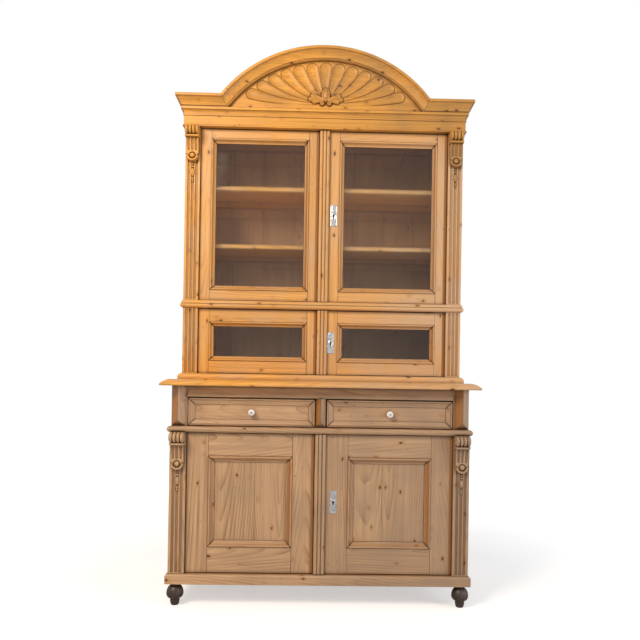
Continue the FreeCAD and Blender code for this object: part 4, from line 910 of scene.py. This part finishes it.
# The drop under a bracket: level, half width, how far it stands out, and half height of each of its forms.
# A tall one is pointed below, and a taller one ribbed.
DROPS = (
    (-7.0, 4.4, 4.6, 4.4), (-18.5, 4.6, 5.0, 4.6), (-43.0, 7.2, 8.0, 18.0), (-68.0, 4.6, 5.0, 5.0),
    (-77.5, 3.6, 3.8, 6.5),
)
POINTED_FROM = 6.0
POINTED = 0.45
RIBBED_FROM = 10.0
RIBBED = 0.09
RIBS = 6


def bracket_outline(x, z):
    """Signed distance from the bracket's outline: a wide head over a narrower neck with a round foot."""
    head = max(abs(x) - BRACKET_HALF, FILLET_LOW - z)
    neck = abs(x) - NECK_HALF if z > NECK_HALF else math.hypot(x, z - NECK_HALF) - NECK_HALF
    return max(min(head, neck), z - BRACKET_HEIGHT)


def roll_height(x, z):
    """How far the reeded roll stands out: its reeds are cut deeper towards its foot."""
    low = min(1.0, (BRACKET_HEIGHT - z) / (2 * ROLL_RADIUS))
    turn = abs(math.sin(math.pi * REEDS * (x + BRACKET_HALF) / (2 * BRACKET_HALF)))
    radius = ROLL_RADIUS - (REED_CUT + REED_CUT_LOW * low) * (1 - turn ** (0.45 + 0.4 * low))
    rise = radius * radius - (z - ROLL_MIDDLE) ** 2
    return max(ROLL_BACK, ROLL_RADIUS + math.sqrt(rise)) if rise > 0 else ROLL_BACK


def bracket_height(x, z):
    """How far the bracket stands out."""
    if z > ROLL_FOOT:
        return roll_height(x, z)
    if z > FILLET_LOW:
        share = abs(2 * (z - FILLET_LOW) / (ROLL_FOOT - FILLET_LOW) - 1)
        return FILLET_OUT - FILLET_ROUND * share ** 3
    out = NECK_OUT
    if z > NECK_RISE:
        share = (z - NECK_RISE) / (FILLET_LOW - NECK_RISE)
        out += (ROLL_RADIUS - NECK_OUT) * share ** 2.5
    for middle in NECK_FLUTES:
        flute = round_cone(x, z, (middle, FLUTE_FOOT), (middle, FLUTE_TOP), FLUTE_NARROW, FLUTE_WIDE)
        out -= crown(flute, FLUTE_NARROW, FLUTE_DEEP)
    gap = math.hypot(x, z - NECK_HALF)
    out -= crown(gap - ROUNDEL - MOAT, 2.2, MOAT_DEEP)
    out += crown(gap - ROUNDEL, ROUNDEL_ROUND, ROUNDEL_RISE)
    # The crescent under the roundel: full below, thinning out to two horns at the roundel's own level.
    # The wood outside it is sunk.
    swing = math.degrees(math.acos(max(-1.0, min(1.0, (NECK_HALF - z) / max(gap, 0.01)))))
    taper = clamp((CRESCENT_HORNS - swing) / CRESCENT_TAPER)
    if taper > 0:
        out += crown(abs(gap - CRESCENT) - CRESCENT_HALF * taper ** 0.6, 3.4, CRESCENT_RISE)
        out -= CRESCENT_SUNK * clamp((gap - CRESCENT - 3.8) / 2.0) * min(1.0, 2 * taper)
    # A drilled eye on each side, where a horn ends.
    return out - crown(math.hypot(abs(x) - EYE_OUT, z - EYE_UP) - EYE_RADIUS, 3.0, EYE_DEEP)


def bracket_drop(middle, front, foot):
    """The drop under a bracket: two beads, a long husk, a bead and a pointed leaf, half sunk in the post."""
    shapes = []
    for level, half, out, tall in DROPS:
        shape = bmesh.new()
        bmesh.ops.create_uvsphere(shape, u_segments=20, v_segments=14, radius=1.0)
        for vertex in shape.verts:
            x, y, z = vertex.co
            pinch = 1.0 - POINTED * max(0.0, -z) ** 1.4 if tall >= POINTED_FROM else 1.0
            rib = 1.0 + RIBBED * math.cos(RIBS * math.atan2(x, -y)) if tall >= RIBBED_FROM else 1.0
            vertex.co = (x * half * pinch * rib, y * out * pinch * rib, z * tall)
        move(shape, (middle, front, foot + level))
        shapes.append(shape)
    return shapes


def bracket(middle, front, foot, step):
    """One carved bracket with its drop, in mm."""
    low = (-BRACKET_HALF, 0.0)
    high = (BRACKET_HALF, BRACKET_HEIGHT)
    shape = carve(low, high, step, bracket_height, bracket_outline, 0.0, 0.0)
    move(shape, (middle, front, foot))
    return [shape] + bracket_drop(middle, front, foot)


# A key plate, in mm from its middle.
PLATE_HALF_WIDE = 14.0
PLATE_HALF_TALL = 45.0
PLATE_CORNER = 3.0
PLATE_FRONT = -0.9
KEYHOLE_RADIUS = 4.2
# Its strokes, each from one place to another, with its half width at both.
KEYHOLE_SLOT = ((0.0, 0.0), (0.0, -10.6), 2.4, 2.4)
COLLAR = ((0.0, 0.0), (0.0, -10.6), 6.0, 4.6)
SHIELD = ((0.0, 34.0), (0.0, 20.0), 9.5, 6.0)
PLATE_FLUTE = ((5.0, -38.0), (5.0, -22.0), 3.0, 2.4)
SCROLL = (9.5, 10.5)
SCROLL_RADIUS = 2.6
BORDER_INSIDE = 1.8
PLATE_RISE = 1.0
BORDER_RISE = 0.6
SCROLL_RISE = 0.7
PLATE_FLUTE_DEEP = 0.8


def plate_outline(x, z):
    """Signed distance from the key plate's outline, less its keyhole."""
    corner_x = abs(x) - PLATE_HALF_WIDE + PLATE_CORNER
    corner_z = abs(z) - PLATE_HALF_TALL + PLATE_CORNER
    past = math.hypot(max(corner_x, 0.0), max(corner_z, 0.0))
    edge = past + min(max(corner_x, corner_z), 0.0) - PLATE_CORNER
    return max(edge, KEYHOLE_RADIUS - math.hypot(x, z), -round_cone(x, z, *KEYHOLE_SLOT))


def plate_height(x, z):
    """Pressed ornament: a border, a shield above, a collar round the keyhole and two flutes below."""
    edge = max(abs(x) - PLATE_HALF_WIDE, abs(z) - PLATE_HALF_TALL)
    border = bead(edge + BORDER_INSIDE, 1.0, BORDER_RISE)
    collar = bead(round_cone(x, z, *COLLAR) - 1.0, 1.6, PLATE_RISE)
    shield = crown(round_cone(x, z, *SHIELD), 6.0, PLATE_RISE)
    flute = crown(round_cone(abs(x), z, *PLATE_FLUTE), 2.2, PLATE_FLUTE_DEEP)
    curl = math.hypot(abs(x) - SCROLL[0], z - SCROLL[1])
    return max(max(border, collar, shield) - flute, bead(curl - SCROLL_RADIUS, 0.9, SCROLL_RISE))


def lathe(profile, steps):
    """A turned shape: its profile, as radius and place along the front-to-back axis, spun full circle."""
    shape = bmesh.new()
    points = [shape.verts.new((radius, place, 0.0)) for radius, place in profile]
    edges = [shape.edges.new(pair) for pair in zip(points, points[1:])]
    bmesh.ops.spin(
        shape, geom=points + edges, cent=(0, 0, 0), axis=(0, 1, 0), dvec=(0, 0, 0), angle=2 * math.pi,
        steps=steps, use_merge=True,
    )
    bmesh.ops.remove_doubles(shape, verts=shape.verts[:], dist=0.001)
    bmesh.ops.recalc_face_normals(shape, faces=shape.faces[:])
    return shape


# A drawer knob, in mm: radius and distance in front of the drawer.
KNOB_PROFILE = (
    (0.0, 0.0), (8.6, 0.0), (9.0, -0.5), (9.0, -2.2), (8.4, -3.0), (7.2, -3.6), (6.6, -4.8), (6.5, -6.0),
    (7.2, -7.4), (9.2, -9.0), (11.2, -11.0), (12.7, -13.6), (13.4, -16.5), (13.4, -19.0), (12.6, -22.2),
    (11.0, -25.2), (8.6, -27.8), (6.4, -29.2), (5.2, -29.7), (4.6, -29.4), (4.3, -28.4), (0.0, -28.4),
)
SCREW_PROFILE = ((0.0, -28.2), (3.7, -28.2), (3.7, -28.9), (3.2, -29.4), (2.2, -29.7), (0.0, -29.85))
SCREW_SLOT = 0.5
# A foot, in mm: radius and height above the floor, from the collar down over the ball to the tread.
FOOT_PROFILE = (
    (0.0, 88.0), (22.5, 88.0), (23.5, 86.0), (22.0, 83.0), (18.2, 80.5), (17.4, 79.0), (21.0, 76.5),
    (26.8, 71.0), (31.0, 62.5), (33.2, 53.0), (33.5, 45.0), (32.2, 38.0), (28.6, 32.0), (23.0, 28.5),
    (19.4, 27.0), (18.6, 24.5), (18.6, 18.0), (17.4, 9.0), (15.6, 3.0), (13.0, 0.0), (0.0, 0.0),
)


def length(name, description, default):
    """A length that a user may change."""
    return FloatProperty(name=name, description=description, default=default, unit="LENGTH")


def colour(name, description, code):
    """A colour that a user may change, from its sRGB hex value."""
    return FloatVectorProperty(
        name=name, description=description, default=linear(code), subtype="COLOR", min=0, max=1)


def rotation(name, description, degrees):
    """An angle that a user may change."""
    return FloatProperty(name=name, description=description, default=math.radians(degrees), unit="ROTATION")


class DRESSER_PG_sizes(bpy.types.PropertyGroup):
    """Sizes of the wear, the timber's figure and the carving."""

    worn_edge: length("Worn edge", "How far the arrises are rounded", 1.25 * MM)
    ring_width: length("Ring width", "Width of a growth ring as drawn", 10 * MM)
    knot_spacing: length("Knot spacing", "Mean distance between knots in the timber", 51 * MM)
    knot_radius: length("Knot radius", "Radius of a knot at its widest", 5.2 * MM)
    pin_knot_radius: length("Pin knot radius", "Radius of a pin knot", 2.6 * MM)
    carving_step: length("Carving step", "Spacing of the points that the carving is cut on", 1.7 * MM)
    bracket_step: length("Bracket step", "Spacing of the points that a bracket is cut on", 1.2 * MM)
    plate_step: length("Plate step", "Spacing of the points that a key plate is pressed on", 0.7 * MM)
    shell_depth: length("Shell depth", "Depth of the hollow in each ray of the shell", 2.8 * MM)
    shell_rays: IntProperty(
        name="Rays each side", description="Rays of the shell on each side of the middle one", default=6)
    turned_steps: IntProperty(
        name="Turned steps", description="Faces round a turned knob or foot", default=48)


class DRESSER_PG_tones(bpy.types.PropertyGroup):
    """Colours of the finishes."""

    upper_early: colour("Upper early wood", "Pale wood of the upper part", "E9A74C")
    upper_late: colour("Upper late wood", "Ring lines of the upper part", "B4742E")
    # The greyed colours below are also painted side shade: the wood turns to them towards its right side.
    upper_greyed_and_shaded: colour("Upper faded wood", "Wood of the upper part where daylight greyed it", "CCAE90")
    top_early: colour("Top early wood", "Pale wood of the frieze, cornice and crest", "F0A940")
    # Also painted side shade towards the right.
    top_late: colour("Top late wood", "Ring lines of the frieze, cornice and crest", "BE7A24")
    top_greyed_and_shaded: colour("Top faded wood", "Wood of the crest where daylight greyed it", "8A6E4A")
    lower_early: colour("Lower early wood", "Pale wood of the base", "CBA37A")
    lower_late: colour("Lower late wood", "Ring lines of the base", "8C6440")
    # Also painted side shade towards the right.
    lower_greyed_and_shaded: colour("Lower faded wood", "Wood of the base where daylight greyed it", "9A8068")
    inner_early: colour("Inner early wood", "Pale wood of the inside", "CE9C6A")
    inner_late: colour("Inner late wood", "Ring lines of the inside", "A0764A")
    knot: colour("Knot", "Heart of a knot", "5A351C")
    # Old varnish is also the colour of the edge strips and of the painted shade on sloping facets.
    old_varnish_and_facet_shade: colour("Old varnish", "Varnish left beside edges and knots", "9C6428")
    # Old wax is also the colour of the painted shade in nooks.
    old_wax_and_nook_shade: colour("Old wax", "Dark wax along the arrises", "5E3C1E")
    dark_stain: colour("Dark stain", "Stain of the feet", "2E231E")
    rubbed_stain: colour("Rubbed stain", "Stain where it is rubbed thin", "5A4032")
    glass: colour("Glass", "Faint green of the panes", "E9F1EC")
    nickel: colour("Nickel", "Rubbed nickel plate", "BCBEC0")
    tarnish: colour("Tarnish", "Dull nickel plate", "62656C")
    porcelain: colour("Porcelain", "Glaze of the knobs", "F7F5F3")
    crack: colour("Crack", "Hair cracks in the glaze", "9C948B")
    iron: colour("Iron", "Forged iron of locks and pivots", "55504B")
    rust: colour("Rust", "Rust bloom on iron", "5E3A24")
    screw: colour("Screw", "Steel screw in a knob", "8B8885")
    floor: colour("Floor", "Pale studio floor", "EDECEA")
    key_lamp: colour("Key lamp colour", "Warm light of the large lamp", "FFEED8")
    fill_lamp: colour("Fill lamp colour", "Cool light of the soft lamp", "EAF0FF")


class DRESSER_PG_stage(bpy.types.PropertyGroup):
    """Place of the camera and strength of the lamps."""

    eye: FloatVectorProperty(
        name="Camera place", description="Where the camera stands", default=(-0.014, -2.729, 0.864),
        subtype="TRANSLATION", unit="LENGTH")
    yaw: rotation("Yaw", "Turn to the right", 1.16)
    pitch: rotation("Pitch", "Tilt upwards", 0.12)
    roll: rotation("Roll", "Turn about the line of sight", 0.93)
    lens: FloatProperty(name="Lens", description="Focal length in mm", default=35.34)
    shift_x: FloatProperty(name="Shift across", description="Lens shift across", default=-0.0164)
    shift_y: FloatProperty(name="Shift up", description="Lens shift upwards", default=0.1066)
    key_power: FloatProperty(
        name="Key lamp", description="Power of the large lamp", default=90.0, unit="POWER")
    fill_power: FloatProperty(
        name="Fill lamp", description="Power of the soft lamp opposite", default=46.0, unit="POWER")
    sky: FloatProperty(name="Room light", description="Strength of the light from all round", default=0.3)


class DRESSER_OT_base_case(bpy.types.Operator):
    """Lay the pine boards and mouldings of the base"""

    bl_idname = "dresser.base_case"
    bl_label = "Base case"

    def execute(self, context):
        for node in LOWER_NODES:
            lay_boards(context, node, "lower")
        return {"FINISHED"}


class DRESSER_OT_upper_case(bpy.types.Operator):
    """Lay the pine boards and mouldings of the upper part and the countertop"""

    bl_idname = "dresser.upper_case"
    bl_label = "Upper case"

    def execute(self, context):
        for node in UPPER_NODES:
            lay_boards(context, node, "upper")
        for node in TOP_NODES:
            lay_boards(context, node, "top")
        return {"FINISHED"}


class DRESSER_OT_inner_boards(bpy.types.Operator):
    """Lay the unwaxed boards of the inside and the back"""

    bl_idname = "dresser.inner_boards"
    bl_label = "Inner boards"

    def execute(self, context):
        for node in INNER_NODES:
            lay_boards(context, node, "inner")
        return {"FINISHED"}


class DRESSER_OT_doors(bpy.types.Operator):
    """Lay the frames, panels and joint strips of the six doors"""

    bl_idname = "dresser.doors"
    bl_label = "Doors"

    def execute(self, context):
        for tier in DOOR_TIERS:
            key = "lower" if tier == "base" else "upper"
            for side in SIDES:
                node = f"{tier}_{side}_door_frame"
                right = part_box(node)[1].x
                lay_boards(context, node, key, (right - RIGHT_EDGE_STRIP, right + RIGHT_EDGE_STRIP))
            lay_boards(context, f"{tier}_astragal", key)
        for node in DOOR_PANELS:
            lay_boards(context, node, "lower")
        return {"FINISHED"}


class DRESSER_OT_drawers(bpy.types.Operator):
    """Lay the fronts and boxes of the two drawers"""

    bl_idname = "dresser.drawers"
    bl_label = "Drawers"

    def execute(self, context):
        for side in SIDES:
            lay_boards(context, f"{side}_drawer_front", "lower")
            lay_boards(context, f"{side}_drawer_box", "inner")
        return {"FINISHED"}


class DRESSER_OT_feet(bpy.types.Operator):
    """Turn and stain the four feet"""

    bl_idname = "dresser.feet"
    bl_label = "Feet"

    def execute(self, context):
        upright = Matrix.Rotation(math.pi / 2, 3, "X")
        feet = []
        for plain in board_copies("feet"):
            low, high = reach(plain)
            plain.free()
            foot = lathe(FOOT_PROFILE, context.scene.dresser_sizes.turned_steps)
            bmesh.ops.rotate(foot, cent=(0, 0, 0), matrix=upright, verts=foot.verts[:])
            to_metres(foot)
            move(foot, ((low.x + high.x) / 2, (low.y + high.y) / 2, low.z))
            soften(foot)
            feet.append(foot)
        finish_piece(join(feet), "feet_turned", "feet", "stained", context)
        return {"FINISHED"}


class DRESSER_OT_crest(bpy.types.Operator):
    """Carve the shell and the palmette of the crest board"""

    bl_idname = "dresser.crest"
    bl_label = "Carved crest"

    def execute(self, context):
        sizes = context.scene.dresser_sizes
        low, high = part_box("crest_board")
        rays = shell_rays(sizes.shell_rays)
        depth = sizes.shell_depth / MM
        shape = carve(
            (low.x / MM, low.z / MM), (high.x / MM, high.z / MM), sizes.carving_step / MM,
            lambda x, z: crest_height(x, z, rays, depth), crest_outline, CREST_FRONT, high.y / MM)
        finish_carving(shape, "crest_board", "x", "top", context)
        return {"FINISHED"}


class DRESSER_OT_brackets(bpy.types.Operator):
    """Carve the four scroll brackets and their drops"""

    bl_idname = "dresser.brackets"
    bl_label = "Scroll brackets"

    def execute(self, context):
        step = context.scene.dresser_sizes.bracket_step / MM
        for node, key in (("base_corbels", "lower"), ("hutch_corbels", "top")):
            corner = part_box(node)[1]
            middle = corner.x / MM - BRACKET_HALF
            foot = corner.z / MM - BRACKET_HEIGHT
            shapes = [
                shape for place in (-middle, middle) for shape in bracket(place, corner.y / MM, foot, step)
            ]
            finish_carving(join(shapes), node, "z", key, context)
        return {"FINISHED"}


class DRESSER_OT_key_plates(bpy.types.Operator):
    """Press the three nickel key plates"""

    bl_idname = "dresser.key_plates"
    bl_label = "Key plates"

    def execute(self, context):
        step = context.scene.dresser_sizes.plate_step / MM
        for tier in DOOR_TIERS:
            node = f"{tier}_key_plate"
            low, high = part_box(node)
            shape = carve(
                (-PLATE_HALF_WIDE, -PLATE_HALF_TALL), (PLATE_HALF_WIDE, PLATE_HALF_TALL), step, plate_height,
                plate_outline, PLATE_FRONT, 0.0)
            to_metres(shape)
            move(shape, ((low.x + high.x) / 2, high.y, (low.z + high.z) / 2))
            soften(shape)
            finish_piece(shape, node + "_pressed", node, "nickel", context)
        return {"FINISHED"}


class DRESSER_OT_knobs(bpy.types.Operator):
    """Turn the porcelain drawer knobs and their screws"""

    bl_idname = "dresser.knobs"
    bl_label = "Knobs"

    def execute(self, context):
        steps = context.scene.dresser_sizes.turned_steps
        for side in SIDES:
            node = f"{side}_drawer_knob"
            low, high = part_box(node)
            knob = lathe(KNOB_PROFILE, steps)
            halves = []
            for way in (-1, 1):
                half = lathe(SCREW_PROFILE, steps)
                saw(half, (0, 0, way * SCREW_SLOT), (0, 0, way), clear_inner=True)
                bmesh.ops.holes_fill(half, edges=open_edges(half), sides=0)
                bmesh.ops.recalc_face_normals(half, faces=half.faces[:])
                halves.append(half)
            screw = join(halves)
            for shape in (knob, screw):
                move(shape, Vector(((low.x + high.x) / 2, high.y, (low.z + high.z) / 2)) / MM)
                to_metres(shape)
                soften(shape)
            finish_piece(knob, node + "_turned", node, "porcelain", context)
            finish_piece(screw, f"{side}_knob_screw", node, "screw", context, "forged_iron")
        return {"FINISHED"}


class DRESSER_OT_fittings(bpy.types.Operator):
    """Give the glass and the iron fittings their finishes"""

    bl_idname = "dresser.fittings"
    bl_label = "Glass and iron"

    def execute(self, context):
        for nodes, key in ((GLASS_NODES, "glass"), (IRON_NODES, "iron")):
            for node in nodes:
                frame["nodes"][node].material_slots[0].material = material_for(key, context)
        return {"FINISHED"}


# The stage, in metres: half the floor, where it starts to run out to white and is white, and the lamps' aim.
FLOOR_HALF = 7.0
WHITE_STARTS = 1.0
WHITE_FULL = 3.2
LAMP_AIM = Vector((0, 0, 1.15))
# Each lamp's place and width.
LAMPS = {"key": ((-1.75, -2.55, 2.95), 1.2), "fill": ((3.0, -1.8, 1.2), 2.0)}


def lay_floor(scene):
    """A matt painted floor. For the camera it runs out to white, and keeps the shadow near the feet."""
    shape = bmesh.new()
    bmesh.ops.create_grid(shape, x_segments=8, y_segments=8, size=FLOOR_HALF)
    mesh = bpy.data.meshes.new("studio_floor")
    shape.to_mesh(mesh)
    shape.free()
    floor = bpy.data.objects.new("studio_floor", mesh)
    scene.collection.objects.link(floor)
    material, tree, shader, place = blank("matt painted floor")
    mottle = add(tree, "TexNoise", {"Vector": place, "Scale": 1.5, "Detail": 2.0})
    rough = add(tree, "MapRange", {0: mottle, 1: 0.3, 2: 0.7, 3: 0.85, 4: 0.95})
    away = add(tree, "VectorMath", {0: place}, "Value", operation="LENGTH")
    away = add(tree, "MapRange", {0: away, 1: WHITE_STARTS, 2: WHITE_FULL, 3: 0.5})
    seen = add(tree, "LightPath", out="Is Camera Ray")
    glow = add(tree, "Math", {0: seen, 1: away}, operation="MULTIPLY")
    feed(shader, {
        "Base Color": opaque(scene.dresser_tones.floor), "Roughness": rough, "Emission Color": (1, 1, 1, 1),
        "Emission Strength": glow,
    })
    mesh.materials.append(material)


def light_room(scene):
    """White light from all round: full where it is seen or mirrored, and weaker where it lights the wood."""
    world = bpy.data.worlds.new("soft room")
    scene.world = world
    world.use_nodes = True
    tree = world.node_tree
    rays = add(tree, "LightPath").node.outputs
    seen = rays["Is Camera Ray"]
    for other in ("Is Glossy Ray", "Is Transmission Ray"):
        seen = add(tree, "Math", {0: seen, 1: rays[other]}, operation="MAXIMUM")
    level = add(tree, "MapRange", {0: seen, 3: scene.dresser_stage.sky})
    feed(tree.nodes["Background"], {"Color": (1, 1, 1, 1), "Strength": level})


def hang_lamp(scene, name, spot, size):
    """One wide lamp that aims at the middle of the dresser."""
    data = bpy.data.lights.new(name + "_lamp", "AREA")
    data.size = size
    data.energy = getattr(scene.dresser_stage, name + "_power")
    data.color = getattr(scene.dresser_tones, name + "_lamp")
    lamp = bpy.data.objects.new(name + "_lamp", data)
    lamp.location = spot
    lamp.rotation_euler = (LAMP_AIM - Vector(spot)).to_track_quat("-Z", "Y").to_euler()
    scene.collection.objects.link(lamp)


def set_camera(scene):
    """The camera, nearly level and straight in front."""
    stage = scene.dresser_stage
    lens = bpy.data.cameras.new("camera")
    lens.lens = stage.lens
    lens.shift_x = stage.shift_x
    lens.shift_y = stage.shift_y
    camera = bpy.data.objects.new("camera", lens)
    sight = Matrix.Rotation(-stage.yaw, 4, "Z") @ Matrix.Rotation(math.pi / 2 + stage.pitch, 4, "X")
    camera.matrix_world = Matrix.Translation(stage.eye) @ sight @ Matrix.Rotation(stage.roll, 4, "Z")
    scene.collection.objects.link(camera)
    scene.camera = camera


class DRESSER_OT_stage(bpy.types.Operator):
    """Set up the floor, the lamps, the room light and the camera"""

    bl_idname = "dresser.stage"
    bl_label = "Stage"

    def execute(self, context):
        scene = context.scene
        scene.view_settings.view_transform = "Standard"
        lay_floor(scene)
        light_room(scene)
        for name, (spot, size) in LAMPS.items():
            hang_lamp(scene, name, spot, size)
        set_camera(scene)
        return {"FINISHED"}


class DRESSER_PT_panel(bpy.types.Panel):
    """Lists the dresser's pieces, sizes and colours"""

    bl_idname = "DRESSER_PT_panel"
    bl_label = "Pine kitchen dresser"
    bl_space_type = "VIEW_3D"
    bl_region_type = "UI"
    bl_category = "Dresser"

    def draw(self, context):
        column = self.layout.column()
        for step in STEPS:
            column.operator(step.bl_idname)
        for name, kind in GROUPS.items():
            box = self.layout.box()
            for field in kind.__annotations__:
                box.prop(getattr(context.scene, name), field)


GROUPS = {
    "dresser_sizes": DRESSER_PG_sizes, "dresser_tones": DRESSER_PG_tones, "dresser_stage": DRESSER_PG_stage,
}
STEPS = (
    DRESSER_OT_base_case, DRESSER_OT_upper_case, DRESSER_OT_inner_boards, DRESSER_OT_doors,
    DRESSER_OT_drawers, DRESSER_OT_feet, DRESSER_OT_crest, DRESSER_OT_brackets, DRESSER_OT_key_plates,
    DRESSER_OT_knobs, DRESSER_OT_fittings, DRESSER_OT_stage,
)
CLASSES = (*GROUPS.values(), *STEPS, DRESSER_PT_panel)


def register():
    """Registers the classes and hangs the groups of sizes and colours on the scene."""
    for kind in CLASSES:
        bpy.utils.register_class(kind)
    for name, kind in GROUPS.items():
        setattr(bpy.types.Scene, name, PointerProperty(type=kind))


def unregister():
    """Takes the groups off the scene and drops the classes."""
    for name in GROUPS:
        delattr(bpy.types.Scene, name)
    for kind in reversed(CLASSES):
        bpy.utils.unregister_class(kind)


def main():
    register()
    for step in STEPS:
        family, name = step.bl_idname.split(".")
        getattr(getattr(bpy.ops, family), name)()


if __name__ == "__main__":
    main()
